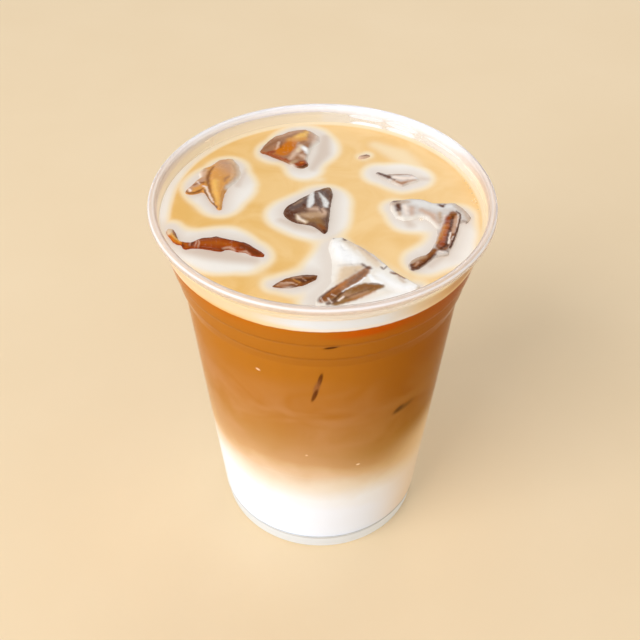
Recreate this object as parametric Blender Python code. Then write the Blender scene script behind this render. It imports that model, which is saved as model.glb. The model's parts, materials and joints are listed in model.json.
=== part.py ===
# Iced latte in a clear throwaway cup, standing on its base.
# The origin is the centre of the base, +Z is up and -Y is the front.
# All sizes are in millimetres here and are turned to metres when a mesh is made.

import math

import bmesh
import bpy
from mathutils import Vector

MM = 0.001
TURN_STEPS = 64

# Cup
CUP_HEIGHT = 122.0
RIM_RADIUS = 49.0
RIM_BEAD = 2.6
RIM_BEAD_TURN = 45
RIM_BEAD_POINTS = 7
WALL = 0.6
BASE_RADIUS = 32.5
BASE_FILLET = 0.8
BASE_RECESS = 1.2
BASE_RING_INNER = 29.6
FLOOR_TOP = 2.0
FLOOR_CORNER = 1.4
ROUNDING = 0.3
FOOT_STEP_Z = 5.4
FOOT_STEP_RADIUS = 33.05
FOOT_STEP_RISE = 0.8
FOOT_STEP_OUT = 0.4
KINK_Z = 94.0
KINK_RADIUS = 41.04
LOWER_RING_Z = 97.6
LOWER_RING_RADIUS = 41.95
UPPER_RING_Z = 104.2
UPPER_RING_RADIUS = 43.55
RING_RISE = 0.7
RING_OUT = 0.5
LIP_Z = 119.3
LIP_RADIUS = 47.2

# Drink
GAP = 0.3
MILK_TOP = 40.0
COFFEE_TOP = 110.4
DRINK_TOP = 116.1

# Ice: the outline that shows at the drink's top is a spine of (x, y, half width)
ICE_SWELL = 0.5
ICE_SHOULDER = 3.0
ICE_FOOT_SCALE = 0.75
WING_DEPTH = 0.6
WING_HEIGHT = 0.7

ICE_UPPER_LEFT = [(-28.2, 25.0, 1.6), (-29.0, 21.0, 4.0), (-29.2, 16.0, 4.6), (-30.4, 10.0, 2.8),
                  (-30.2, 5.5, 1.8), (-29.4, 0.3, 0.6)]
ICE_UPPER_LEFT_WING = [(-31.5, 13.0, 2.4), (-35.8, 10.2, 1.9), (-39.0, 8.7, 1.0)]
ICE_UPPER_MIDDLE = [(-18.8, 29.2, 0.9), (-14.6, 32.0, 4.8), (-9.8, 33.2, 7.8), (-5.4, 36.2, 5.6),
                    (-2.2, 38.0, 2.2)]
ICE_UPPER_MIDDLE_WING = [(-8.4, 30.0, 3.2), (-6.4, 25.0, 2.6), (-5.7, 21.4, 1.2)]
ICE_CHIP = [(10.8, 26.4, 0.5), (12.5, 27.4, 0.9), (14.4, 28.3, 0.5)]
ICE_UPPER_RIGHT = [(15.9, 19.0, 0.6), (18.6, 17.0, 1.2), (22.4, 15.4, 2.4), (25.8, 15.6, 2.0),
                   (28.2, 16.1, 0.7)]
ICE_MIDDLE = [(-10.9, -0.8, 1.8), (-7.3, -0.8, 5.0), (-2.6, 0.3, 7.6), (0.6, 0.3, 10.4),
              (2.3, 1.8, 8.0)]
ICE_RIGHT_BAR = [(19.6, 2.6, 0.9), (22.5, 2.2, 2.8), (27.5, 1.6, 3.5), (33.0, -0.4, 4.2),
                 (37.6, -1.0, 4.2), (41.0, -3.2, 1.4)]
ICE_RIGHT_LEG = [(36.4, -3.4, 2.8), (34.6, -10.0, 2.6), (32.2, -15.8, 2.5), (28.0, -21.0, 1.9),
                 (24.4, -25.0, 1.5)]
ICE_LEFT = [(-37.7, -16.8, 1.3), (-33.5, -15.8, 1.8), (-28.6, -15.6, 3.0), (-24.0, -16.3, 2.1),
            (-20.0, -17.9, 1.8), (-15.9, -20.6, 0.8)]
ICE_LEFT_HOOK = [(-41.5, -10.2, 0.9), (-40.7, -12.4, 0.7), (-39.2, -14.6, 0.7), (-36.6, -16.4, 1.0)]
ICE_LOWER_LEFT = [(-12.8, -33.1, 0.5), (-9.5, -31.3, 1.4), (-5.5, -31.0, 2.0), (-1.6, -29.4, 0.8)]
ICE_LOWER_RIGHT = [(5.0, -13.4, 1.4), (6.6, -18.0, 5.0), (9.5, -23.0, 6.9), (11.8, -27.5, 7.9),
                   (14.2, -31.6, 10.6), (13.0, -35.4, 11.4), (8.6, -38.9, 8.0)]

# Each piece of ice: its spines, its depth under the drink's top, its height over it and
# how much of its outline is left at that height
ICE_PIECES = {
    "ice_1": ([ICE_UPPER_LEFT, ICE_UPPER_LEFT_WING], 16.0, 1.2, 0.6),
    "ice_2": ([ICE_UPPER_MIDDLE, ICE_UPPER_MIDDLE_WING], 17.0, 1.2, 0.6),
    "ice_3": ([ICE_CHIP], 7.0, 0.5, 0.5),
    "ice_4": ([ICE_UPPER_RIGHT], 12.0, 0.8, 0.5),
    "ice_5": ([ICE_MIDDLE], 18.0, 1.2, 0.55),
    "ice_6": ([ICE_RIGHT_BAR, ICE_RIGHT_LEG], 16.0, 1.2, 0.7),
    "ice_7": ([ICE_LEFT, ICE_LEFT_HOOK], 13.0, 0.9, 0.6),
    "ice_8": ([ICE_LOWER_LEFT], 11.0, 0.8, 0.5),
    "ice_9": ([ICE_LOWER_RIGHT], 18.0, 1.3, 0.8),
}


def clear_scene():
    for item in list(bpy.data.objects):
        bpy.data.objects.remove(item, do_unlink=True)


def make_material(name, colour, roughness, transmission=0.0, ior=1.45):
    material = bpy.data.materials.new(name)
    material.use_nodes = True
    shader = material.node_tree.nodes["Principled BSDF"]
    shader.inputs["Base Color"].default_value = (*colour, 1.0)
    shader.inputs["Roughness"].default_value = roughness
    shader.inputs["Metallic"].default_value = 0.0
    shader.inputs["Transmission Weight"].default_value = transmission
    shader.inputs["IOR"].default_value = ior
    material.diffuse_color = (*colour, 1.0)
    return material


def add_object(name, bm, material):
    mesh = bpy.data.meshes.new(name)
    bmesh.ops.scale(bm, vec=Vector((MM, MM, MM)), verts=bm.verts)
    bm.to_mesh(mesh)
    bm.free()
    if material:
        mesh.materials.append(material)
    item = bpy.data.objects.new(name, mesh)
    bpy.context.scene.collection.objects.link(item)
    return item


def turned_piece(name, profile, material):
    # The profile starts and ends on the axis and runs down its outer side
    bm = bmesh.new()
    last = None
    for radius, height in profile:
        vertex = bm.verts.new((radius, 0.0, height))
        if last:
            bm.edges.new((last, vertex))
        last = vertex
    item = add_object(name, bm, material)
    screw = item.modifiers.new("turn", "SCREW")
    screw.axis = "Z"
    screw.angle = math.tau
    screw.steps = TURN_STEPS
    screw.render_steps = TURN_STEPS
    screw.use_merge_vertices = True
    screw.merge_threshold = 0.00001
    screw.use_smooth_shade = True
    return item


def outer_wall():
    # The outer side of the cup from the base up to the lip
    return [
        (BASE_RADIUS - BASE_FILLET, 0.0),
        (BASE_RADIUS - ROUNDING * BASE_FILLET, ROUNDING * BASE_FILLET),
        (BASE_RADIUS, BASE_FILLET),
        (FOOT_STEP_RADIUS, FOOT_STEP_Z),
        (FOOT_STEP_RADIUS + FOOT_STEP_OUT, FOOT_STEP_Z + FOOT_STEP_RISE),
        (KINK_RADIUS, KINK_Z),
        (LOWER_RING_RADIUS, LOWER_RING_Z),
        (LOWER_RING_RADIUS + RING_OUT, LOWER_RING_Z + RING_RISE),
        (UPPER_RING_RADIUS, UPPER_RING_Z),
        (UPPER_RING_RADIUS + RING_OUT, UPPER_RING_Z + RING_RISE),
        (LIP_RADIUS, LIP_Z),
    ]


def inner_wall(inset):
    # The same line moved inwards, from the corner over the floor up to the lip
    line = [(radius - inset, height) for radius, height in outer_wall()]
    return [(radius, height) for radius, height in line if height > FLOOR_TOP]


def radius_at(height, inset):
    line = outer_wall()
    for (low_r, low_z), (high_r, high_z) in zip(line, line[1:]):
        if low_z <= height <= high_z:
            share = (height - low_z) / (high_z - low_z)
            return low_r + share * (high_r - low_r) - inset
    return line[-1][0] - inset


def rim_bead():
    # The rolled rim from its inner foot over the top to its outer foot
    half = RIM_BEAD / 2
    middle = (RIM_RADIUS - half, CUP_HEIGHT - half)
    points = []
    for step in range(RIM_BEAD_POINTS):
        angle = math.radians(180 - RIM_BEAD_TURN * step)
        points.append((middle[0] + half * math.cos(angle), middle[1] + half * math.sin(angle)))
    return points


def floor_corner(floor, inset):
    # The rounded corner between a floor and the wall, from the floor outwards
    radius = radius_at(floor + FLOOR_CORNER, inset)
    return [
        (radius - FLOOR_CORNER, floor),
        (radius - ROUNDING * FLOOR_CORNER, floor + ROUNDING * FLOOR_CORNER),
        (radius, floor + FLOOR_CORNER),
    ]


def cup_profile():
    inside = [(0.0, FLOOR_TOP)] + floor_corner(FLOOR_TOP, WALL)
    outside = list(reversed(outer_wall()))
    under = [
        (BASE_RING_INNER, 0.0),
        (BASE_RING_INNER - BASE_RECESS, BASE_RECESS),
        (0.0, BASE_RECESS),
    ]
    return inside + inner_wall(WALL) + rim_bead() + outside + under


def drink_profile(bottom, top):
    # One layer of the drink, a gap inside the wall and between the floor and the layers
    inset = WALL + GAP
    side = [(r, z) for r, z in inner_wall(inset) if bottom < z < top]
    if bottom > FOOT_STEP_Z:
        foot = [(radius_at(bottom, inset), bottom)]
    else:
        foot = list(reversed(floor_corner(bottom, inset)))
    return [(0.0, top), (radius_at(top, inset), top)] + list(reversed(side)) + foot + [(0.0, bottom)]


def outline(spine, scale, swell):
    # A closed outline round a spine, scaled about the spine's middle and then swollen
    middle = sum((Vector(station[:2]) for station in spine), Vector((0.0, 0.0))) / len(spine)
    points = [middle + scale * (Vector(station[:2]) - middle) for station in spine]
    along = (points[-1] - points[0]).normalized()
    across = Vector((-along.y, along.x))
    points[0] -= swell * along
    points[-1] += swell * along
    left = []
    right = []
    for point, station in zip(points, spine):
        half = scale * station[2] + swell
        left.append(point + half * across)
        right.append(point - half * across)
    return right + list(reversed(left))


def ice_shard(name, spine, depth, height, crown, swell, material):
    # Outlines stacked from the crown down to the foot, with a shoulder under the drink's top
    sections = [
        (DRINK_TOP + height + swell, crown, swell),
        (DRINK_TOP, 1.0, swell),
        (DRINK_TOP - ICE_SHOULDER, 1.0, swell + ICE_SWELL),
        (DRINK_TOP - depth - swell, ICE_FOOT_SCALE, swell),
    ]
    bm = bmesh.new()
    rings = []
    for level, scale, extra in sections:
        ring = [bm.verts.new((p.x, p.y, level)) for p in outline(spine, scale, extra)]
        rings.append(ring)
    for upper, lower in zip(rings, rings[1:]):
        for index in range(len(upper)):
            following = (index + 1) % len(upper)
            bm.faces.new((lower[index], lower[following], upper[following], upper[index]))
    bm.faces.new(rings[0])
    bm.faces.new(list(reversed(rings[-1])))
    bmesh.ops.triangulate(bm, faces=[face for face in bm.faces if len(face.verts) > 4])
    bmesh.ops.recalc_face_normals(bm, faces=bm.faces)
    return add_object(name, bm, material)


def mark_as_cutter(item):
    item.hide_render = True
    item.display_type = "WIRE"


def cut_or_join(target, tool, operation):
    modifier = target.modifiers.new(tool.name, "BOOLEAN")
    modifier.operation = operation
    modifier.solver = "EXACT"
    modifier.object = tool


def add_ice(material):
    # Makes the ice and gives back the pockets it needs, each with the height of its floor
    pockets = []
    for name, (spines, depth, height, crown) in ICE_PIECES.items():
        sizes = [(depth, height)] + [(WING_DEPTH * depth, WING_HEIGHT * height)] * (len(spines) - 1)
        body = None
        for spine, (deep, high) in zip(spines, sizes):
            shard_name = name + "_wing" if body else name
            shard = ice_shard(shard_name, spine, deep, high, crown, 0.0, material)
            if body:
                mark_as_cutter(shard)
                cut_or_join(body, shard, "UNION")
            else:
                body = shard
            pocket = ice_shard(shard_name + "_pocket", spine, deep, high, crown, GAP, None)
            mark_as_cutter(pocket)
            pockets.append((pocket, DRINK_TOP - deep - GAP))
    return pockets


def build():
    clear_scene()
    clear_plastic = make_material("clear_plastic", (0.93, 0.94, 0.94), 0.05, 1.0, 1.5)
    milk_white = make_material("milk_white", (0.90, 0.87, 0.80), 0.35)
    coffee_brown = make_material("coffee_brown", (0.46, 0.17, 0.03), 0.30)
    foam_tan = make_material("foam_tan", (0.86, 0.60, 0.27), 0.40)
    clear_ice = make_material("clear_ice", (0.86, 0.84, 0.80), 0.08, 1.0, 1.31)

    turned_piece("cup", cup_profile(), clear_plastic)
    turned_piece("milk", drink_profile(FLOOR_TOP + GAP, MILK_TOP), milk_white)
    coffee = turned_piece("coffee", drink_profile(MILK_TOP + GAP, COFFEE_TOP), coffee_brown)
    foam = turned_piece("milk_foam", drink_profile(COFFEE_TOP + GAP, DRINK_TOP), foam_tan)

    for pocket, pocket_floor in add_ice(clear_ice):
        cut_or_join(foam, pocket, "DIFFERENCE")
        if pocket_floor < COFFEE_TOP:
            cut_or_join(coffee, pocket, "DIFFERENCE")


build()
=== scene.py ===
import json
import math
import bpy
import numpy as np
from mathutils import Matrix, Vector
from mathutils.kdtree import KDTree

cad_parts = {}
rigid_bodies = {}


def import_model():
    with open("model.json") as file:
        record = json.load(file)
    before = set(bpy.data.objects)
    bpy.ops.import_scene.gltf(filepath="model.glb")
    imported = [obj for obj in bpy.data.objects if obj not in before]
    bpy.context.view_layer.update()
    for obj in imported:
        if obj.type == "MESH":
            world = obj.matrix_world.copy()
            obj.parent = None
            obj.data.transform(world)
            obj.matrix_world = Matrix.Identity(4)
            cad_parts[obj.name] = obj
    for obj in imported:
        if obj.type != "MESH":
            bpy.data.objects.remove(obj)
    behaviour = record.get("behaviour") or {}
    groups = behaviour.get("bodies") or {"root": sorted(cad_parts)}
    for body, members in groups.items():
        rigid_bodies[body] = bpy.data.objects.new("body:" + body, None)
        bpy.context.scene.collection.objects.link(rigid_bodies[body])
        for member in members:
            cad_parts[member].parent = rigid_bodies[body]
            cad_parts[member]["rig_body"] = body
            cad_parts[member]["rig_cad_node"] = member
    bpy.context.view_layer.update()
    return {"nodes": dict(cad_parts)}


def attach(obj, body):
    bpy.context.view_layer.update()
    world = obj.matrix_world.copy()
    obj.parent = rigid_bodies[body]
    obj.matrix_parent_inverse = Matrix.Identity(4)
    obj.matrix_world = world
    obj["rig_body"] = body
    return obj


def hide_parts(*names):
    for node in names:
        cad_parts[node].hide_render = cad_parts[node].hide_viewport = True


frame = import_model()

# Iced latte in a clear cup. Sizes are in millimetres unless a name says otherwise. -Y is the front.
MM = 0.001

# The cup, as in the solids: its outer side as (radius, height)
WALL_LINE = [(32.5, 0.8), (33.05, 5.4), (33.45, 6.2), (41.04, 94.0), (41.95, 97.6), (42.45, 98.3),
             (43.55, 104.2), (44.05, 104.9), (47.2, 119.3)]
WALL_BENDS = [5.4, 6.2, 94.0, 97.6, 98.3, 104.2, 104.9]
WALL = 0.6
WALL_SOFTNESS = 0.35
CUP_SIDES = 240
BASE_RADIUS = 32.5
BASE_FILLET = 0.8
BASE_RING_INNER = 29.6
BASE_RECESS = 1.2
BASE_CENTRE = 0.4
BASE_HALFWAY = 14.0
FLOOR_TOP = 2.0
FLOOR_CORNER = 1.4
CURL_MIDDLE = (47.7, 120.7)
CURL_RADIUS = 1.3
CURL_SKIN = 0.45
CURL_START = -95
LIP_HEIGHT = 119.2
# Heights between which the wall's look changes
WET_TO_DRY = (115.6, 116.4)
WALL_TO_RIM = (118.6, 119.4)
ON_RIM = (119.0, 119.6)
FOOT_TO_WALL = (8.0, 20.0)
FOOT_FILM = (5.8, 7.4)
# Painted shade: a grey line along the foot step, fading in and out over these heights
FOOT_STEP_SHADE = ((4.9, 5.5), (5.7, 6.3))
FULLEST_FILM = 0.92

# The drink
REACH = 0.15
MILK_TOP = 40.0
COFFEE_TOP = 110.7
DRINK_TOP = 116.1
MENISCUS = 0.55
MENISCUS_WIDTH = 0.8
FOAM_SIDES = 360
FOAM_STEP = 0.6
SKIRT = (110.75, 111.15)
FOAM_HEIGHTS = (110.75, 111.5, 112.5, 113.5, 114.5, 115.5, 116.2)
RIM_GAPS = (0.0, 0.15, 0.3, 0.5, 0.8, 1.2, 1.7, 2.3)
# The foam's side: how far in from the wall and down from the top its look changes
SIDE_INWARD = (1.2, 0.6)
SIDE_DOWN = (-0.1, 0.5)
# Where the drink's layers meet: how far they lap, how high their flat faces stand in the middle,
# and how far from the wall and from the middle those faces end
LAYER_LAP = 0.3
MILK_CROWN = 0.5
COFFEE_LAP = 0.6
COFFEE_CROWN = 0.05
COFFEE_GAP = 0.03
FOAM_LIFT = 0.1
FACE_EDGE = 1.0
HUB = 4.0
# The hollows for the ice: how much smaller than the ice, and how the cuts are cleaned
COFFEE_INSET = 0.12
FOAM_INSET = 0.18
CUT_MERGE = 0.02
SLIVER = 0.004

# Pale pools in the foam round the ice, each a line of (x, y, half width)
POOL_SOFTNESS = 1.1
POOL_REACH = (-2.0, 3.2)
POOLS = [
    [(-28.4, 20.2, 6.6), (-30, 11, 11), (-29.2, 2.6, 6.5)],
    [(-14.4, 29.6, 6.4), (-6.4, 33.6, 10.6), (-3.4, 31, 8.4)],
    [(-6.4, 33, 9), (-5.6, 20.4, 6)],
    [(12, 27.4, 1.7), (13.4, 28.4, 1.6)],
    [(16.8, 18.4, 5.6), (23.6, 16.8, 7.4), (27.4, 16.6, 5.6)],
    [(-10.2, -2.2, 6.2), (-3.2, -1.8, 11.4), (0.4, 4.6, 8.2)],
    [(-3, -2, 10.6), (-0.4, -7, 6.8)],
    [(20.4, 1.6, 4.2), (25, -2.6, 7), (30, -4.4, 5.8)],
    [(38.4, -1.6, 5.6), (36.6, -10, 6.4), (34.4, -17, 7.4), (27.6, -22.2, 6.6)],
    [(-36, -16.8, 7.6), (-27.4, -18.4, 10.2), (-20.2, -21.2, 7.4)],
    [(-42.2, -8.8, 3.6), (-39.8, -13, 4.2)],
    [(-12.6, -32.4, 3.4), (-7.4, -31.8, 5), (-2, -30, 5)],
    [(3.4, -17.4, 5.6), (1.8, -26, 6.8), (2.6, -36.6, 7.2), (14, -37, 8), (24.6, -34, 4)],
    [(-2, -41, 4.4), (8, -42.4, 4.6), (20, -39, 4)],
]

# The foam is greyer this near to the ice, and along the lines where ice slopes away under it: partly the
# sunk ice showing through, partly painted shade
NEAR_ICE = 5.5
WATERLINE = 0.4
NEAR_ICE_SHADE = 0.42
SHADE = 0.8
SHADE_REACH = (-2.6, 1.2)
SHADES = [
    [(-37, -19, 0.4), (-31, -19.8, 1.8), (-25, -20.8, 2), (-18, -22.6, 1)],
    [(-11.6, -4.6, 0.6), (-7, -7.4, 1), (-2, -9.4, 0.6)],
    [(0.6, 38, 1.2), (0, 29, 1.8), (-3.2, 21, 0.8)],
    [(23, -2, 1), (24.6, -6, 1)],
    [(-22.8, 20, 0.4), (-25, 12, 0.6)],
    [(29, 16.2, 0.8), (31, 16, 0.4)],
    [(33, -19.6, 0.6), (29, -24, 0.6)],
]

# Paler places in the tan foam: (line of (x, y, half width), how pale)
PALE_REACH = (-3.0, 2.5)
PALE_PATCHES = [
    ([(16, 34, 1.6), (23, 28.6, 3.4), (28, 22, 2.4)], 0.36),
    ([(-4, 15.6, 1), (-1, 15.4, 1)], 0.5),
    ([(10, -17, 0.5), (18, -25, 0.5), (25, -31, 0.5)], 0.5),
]

# Richer places in it: lines of (x, y, half width). The left side is richer too
RICH_REACH = (-4.0, 2.0)
RICH = 0.6
RICH_LEFT = 0.5
RICH_LEFT_WIDTH = 34.0
RICH_DIMS_HALO = 0.35
RICH_PATCHES = [
    [(-16, -25.6, 1.4), (-9, -26.8, 1.4)],
    [(22, -13.4, 1.4), (26, -13, 1.2)],
]


def rgb(red, green, blue):
    """A screen colour, 0 to 255, as the linear colour that a shader takes."""
    def straight(value):
        share = value / 255
        return share / 12.92 if share <= 0.04045 else ((share + 0.055) / 1.055) ** 2.4
    return (straight(red), straight(green), straight(blue), 1.0)


# ---------------------------------------------------------------- working with pieces

DEPTH_STEPS = 60


def put_down():
    if bpy.context.object and bpy.context.object.mode != "OBJECT":
        bpy.ops.object.mode_set(mode="OBJECT")
    bpy.ops.object.select_all(action="DESELECT")


def pick_up(piece):
    put_down()
    piece.select_set(True)
    bpy.context.view_layer.objects.active = piece
    return piece


def shape_with(piece, kind, **settings):
    """Adds one modifier and applies it."""
    pick_up(piece)
    modifier = piece.modifiers.new(kind.lower(), kind)
    for key, value in settings.items():
        setattr(modifier, key, value)
    bpy.ops.object.modifier_apply(modifier=modifier.name)


def open_mesh(piece):
    """Goes into edit mode with all of the piece selected."""
    pick_up(piece)
    bpy.ops.object.mode_set(mode="EDIT")
    bpy.ops.mesh.select_all(action="SELECT")


def close_mesh():
    bpy.ops.object.mode_set(mode="OBJECT")


def tidy_mesh(piece, merge=0.002):
    open_mesh(piece)
    bpy.ops.mesh.remove_doubles(threshold=merge * MM)
    bpy.ops.mesh.normals_make_consistent(inside=False)
    close_mesh()


def smooth(piece, degrees=40):
    pick_up(piece)
    bpy.ops.object.shade_smooth_by_angle(angle=math.radians(degrees))


def turned(name, stations, sides):
    """A closed body turned round the cup's middle: a disc, extruded and widened from station to station."""
    put_down()
    radius, height = stations[0]
    bpy.ops.mesh.primitive_circle_add(vertices=sides, radius=radius * MM, fill_type="NGON",
                                      location=(0, 0, height * MM))
    piece = bpy.context.object
    piece.name = name
    bpy.ops.object.mode_set(mode="EDIT")
    for (last_radius, last_height), (radius, height) in zip(stations, stations[1:]):
        lift = (0, 0, (height - last_height) * MM)
        bpy.ops.mesh.extrude_region_move(TRANSFORM_OT_translate={"value": lift})
        grow = radius / last_radius
        bpy.ops.transform.resize(value=(grow, grow, 1), center_override=(0, 0, height * MM))
    close_mesh()
    bpy.ops.object.transform_apply(location=True, rotation=True, scale=True)
    tidy_mesh(piece)
    return piece


def copy_of(node, name):
    """A merged copy of a CAD node's mesh as a new piece."""
    piece = frame["nodes"][node].copy()
    piece.data = piece.data.copy()
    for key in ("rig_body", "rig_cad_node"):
        if key in piece:
            del piece[key]
    piece.parent = None
    piece.name = name
    bpy.context.scene.collection.objects.link(piece)
    piece.data.materials.clear()
    pick_up(piece)
    bpy.ops.mesh.customdata_custom_splitnormals_clear()
    tidy_mesh(piece)
    return piece


def corners(piece):
    """The mesh's corners in millimetres, one row each."""
    flat = np.zeros(len(piece.data.vertices) * 3, np.float32)
    piece.data.vertices.foreach_get("co", flat)
    return flat.reshape(-1, 3).astype(float) / MM


def note(piece, name, values):
    """Stores one number for each corner of the mesh, for a finish to read."""
    layer = piece.data.attributes.new(name, "FLOAT", "POINT")
    layer.data.foreach_set("value", np.asarray(values, np.float32))


def note_colour(piece, name, colours):
    layer = piece.data.attributes.new(name, "FLOAT_COLOR", "POINT")
    layer.data.foreach_set("color", np.asarray(colours, np.float32).ravel())


def round_the_cup(points):
    """Degrees round the cup from the front, right positive, and the distance from its middle."""
    turn = np.degrees(np.arctan2(points[:, 0], -points[:, 1]))
    return turn, np.hypot(points[:, 0], points[:, 1])


def outside(points, line):
    """How far each point lies outside a line of (x, y, half width), negative inside it."""
    best = np.full(len(points), 1e9)
    for (ax, ay, aw), (bx, by, bw) in zip(line, line[1:]):
        start = np.array((ax, ay))
        along = np.array((bx - ax, by - ay))
        share = np.clip((points[:, :2] - start) @ along / (along @ along), 0, 1)
        nearest = start + share[:, None] * along
        gap = np.hypot(*(points[:, :2] - nearest).T) - (aw + share * (bw - aw))
        best = np.minimum(best, gap)
    return best


def outside_outline(points, outline):
    """How far each point lies outside a closed outline, negative inside it, and how soft
    the nearest part of the outline is."""
    places = points[:, :2]
    nearest = np.full(len(places), 1e9)
    softness = np.ones(len(places))
    inside = np.zeros(len(places), bool)
    for (ax, ay, a_soft), (bx, by, b_soft) in zip(outline, outline[1:] + outline[:1]):
        along = np.array((bx - ax, by - ay))
        share = np.clip((places - (ax, ay)) @ along / (along @ along), 0, 1)
        gap = np.hypot(*(places - (ax, ay) - share[:, None] * along).T)
        closer = gap < nearest
        nearest[closer] = gap[closer]
        softness[closer] = (a_soft + share * (b_soft - a_soft))[closer]
        if ay != by:
            crossing = ax + (places[:, 1] - ay) * (bx - ax) / (by - ay)
            level = (places[:, 1] < ay) != (places[:, 1] < by)
            inside ^= level & (places[:, 0] < crossing)
    return np.where(inside, -nearest, nearest), softness


def pool_depth(points, lines, softness):
    """How far each point lies inside softly joined pools, negative outside them."""
    total = np.zeros(len(points))
    for line in lines:
        for start, end in zip(line, line[1:]):
            total += np.exp(np.clip(-outside(points, [start, end]) / softness, -60, 60))
    return softness * np.log(np.maximum(total, 1e-12))


def ramp(values, low, high):
    """0 at low, 1 at high, softly between."""
    share = np.clip((values - low) / (high - low), 0, 1)
    return share * share * (3 - 2 * share)


def lower(piece, depths):
    """Sinks each corner by its depth, through a vertex group and Displace."""
    deepest = float(depths.max())
    if deepest <= 0:
        return
    group = piece.vertex_groups.new(name="depth")
    steps = np.round(depths / deepest * DEPTH_STEPS).astype(int)
    for step in range(1, DEPTH_STEPS + 1):
        chosen = np.nonzero(steps == step)[0]
        if len(chosen):
            group.add([int(i) for i in chosen], step / DEPTH_STEPS, "REPLACE")
    shape_with(piece, "DISPLACE", direction="Z", mid_level=0.0, strength=-deepest * MM,
               vertex_group="depth")
    piece.vertex_groups.clear()


# ---------------------------------------------------------------- finishes

class Value:
    """A socket of a finish that sums can be written with."""

    def __init__(self, finish, socket):
        self.finish = finish
        self.socket = socket

    def sum(self, operation, first, second=0.0):
        return self.finish.node("ShaderNodeMath", {"operation": operation}, {0: first, 1: second})

    def __add__(self, other):
        return self.sum("ADD", self, other)

    def __radd__(self, other):
        return self.sum("ADD", other, self)

    def __sub__(self, other):
        return self.sum("SUBTRACT", self, other)

    def __rsub__(self, other):
        return self.sum("SUBTRACT", other, self)

    def __mul__(self, other):
        return self.sum("MULTIPLY", self, other)

    def __rmul__(self, other):
        return self.sum("MULTIPLY", other, self)

    def __truediv__(self, other):
        return self.sum("DIVIDE", self, other)

    def power(self, other):
        return self.sum("POWER", self, other)

    def at_least(self, other):
        return self.sum("MAXIMUM", self, other)

    def at_most(self, other):
        return self.sum("MINIMUM", self, other)

    def between(self, low, high):
        """0 at low, 1 at high, softly between."""
        return self.finish.node("ShaderNodeMapRange", {"interpolation_type": "SMOOTHSTEP"},
                                {"Value": self, "From Min": low, "From Max": high})


class Finish:
    """One material and its nodes."""

    def __init__(self, name):
        self.material = bpy.data.materials.new(name)
        self.material.use_nodes = True
        self.tree = self.material.node_tree
        self.tree.nodes.clear()

    def node(self, kind, settings=None, sockets=None, output=0):
        made = self.tree.nodes.new(kind)
        for key, value in (settings or {}).items():
            if key == "stops":
                stops = made.color_ramp.elements
                while len(stops) < len(value):
                    stops.new(1.0)
                for stop, (place, colour) in zip(stops, value):
                    stop.position = place
                    stop.color = colour
            else:
                setattr(made, key, value)
        for key, value in (sockets or {}).items():
            if isinstance(value, Value):
                self.tree.links.new(value.socket, made.inputs[key])
            else:
                made.inputs[key].default_value = value
        return Value(self, made.outputs[output]) if len(made.outputs) else None

    def place(self):
        return self.node("ShaderNodeTexCoord", output="Object")

    def height(self):
        """Height over the table in millimetres."""
        split = self.node("ShaderNodeSeparateXYZ", {}, {0: self.place()}, output="Z")
        return split * (1 / MM)

    def turn(self):
        """Degrees round the cup from the front, right positive."""
        place = self.place()
        across = self.node("ShaderNodeSeparateXYZ", {}, {0: place}, output="X")
        deep = self.node("ShaderNodeSeparateXYZ", {}, {0: place}, output="Y")
        return across.sum("ARCTAN2", across, 0 - deep) * (180 / math.pi)

    def patch(self, turn, height, place, size, softness=0.3, lean=0.0):
        """1 in an oval on the wall, 0 outside it. Its place is (turn, height), its size is
        (half length, half width) in millimetres."""
        across = (turn - place[0]) * (wall_radius(place[1]) * math.pi / 180)
        up = height - place[1]
        slope = math.radians(lean)
        along = (across * math.cos(slope) + up * math.sin(slope)) / size[0]
        beside = (up * math.cos(slope) - across * math.sin(slope)) / size[1]
        reach = (along * along + beside * beside).power(0.5)
        return 1 - reach.between(1 - softness, 1 + softness)

    def attribute(self, name, output="Fac"):
        return self.node("ShaderNodeAttribute", {"attribute_name": name}, {}, output)

    def cloud(self, size, detail=3.0, roughness=0.5, distortion=0.0, stretch=(1, 1, 1)):
        """Soft noise whose patches are about size millimetres across."""
        where = self.node("ShaderNodeMapping", {}, {"Vector": self.place(), "Scale": stretch})
        return self.node("ShaderNodeTexNoise", {}, {
            "Vector": where, "Scale": 1 / (size * MM), "Detail": detail,
            "Roughness": roughness, "Distortion": distortion})

    def blend(self, factor, first, second):
        return self.node("ShaderNodeMix", {"data_type": "RGBA"}, {0: factor, 6: first, 7: second},
                         output=2)

    def colours(self, factor, stops):
        return self.node("ShaderNodeValToRGB", {"stops": stops}, {0: factor}, output="Color")

    def bump(self, height, strength, distance):
        return self.node("ShaderNodeBump", {}, {"Height": height, "Strength": strength,
                                                "Distance": distance * MM})

    def gloss(self, **sockets):
        named = {key.replace("_", " "): value for key, value in sockets.items()}
        return self.node("ShaderNodeBsdfPrincipled", {}, named)

    def clear(self, roughness, index, **sockets):
        """Light goes through it, as through plastic, ice or a bubble."""
        return self.gloss(Base_Color=(1, 1, 1, 1), Roughness=roughness, IOR=index,
                          Transmission_Weight=1.0, **sockets)

    def mix(self, factor, first, second):
        return self.node("ShaderNodeMixShader", {}, {0: factor, 1: first, 2: second})

    def let_lamps_through(self, shader, tint):
        """What is behind clear plastic or ice still gets the lamps' light."""
        lamps = self.node("ShaderNodeLightPath", output="Is Shadow Ray")
        clear = self.node("ShaderNodeBsdfTransparent", {}, {"Color": tint})
        return self.mix(lamps, shader, clear)

    def done(self, shader):
        self.node("ShaderNodeOutputMaterial", {}, {"Surface": shader})
        return self.material
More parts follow.
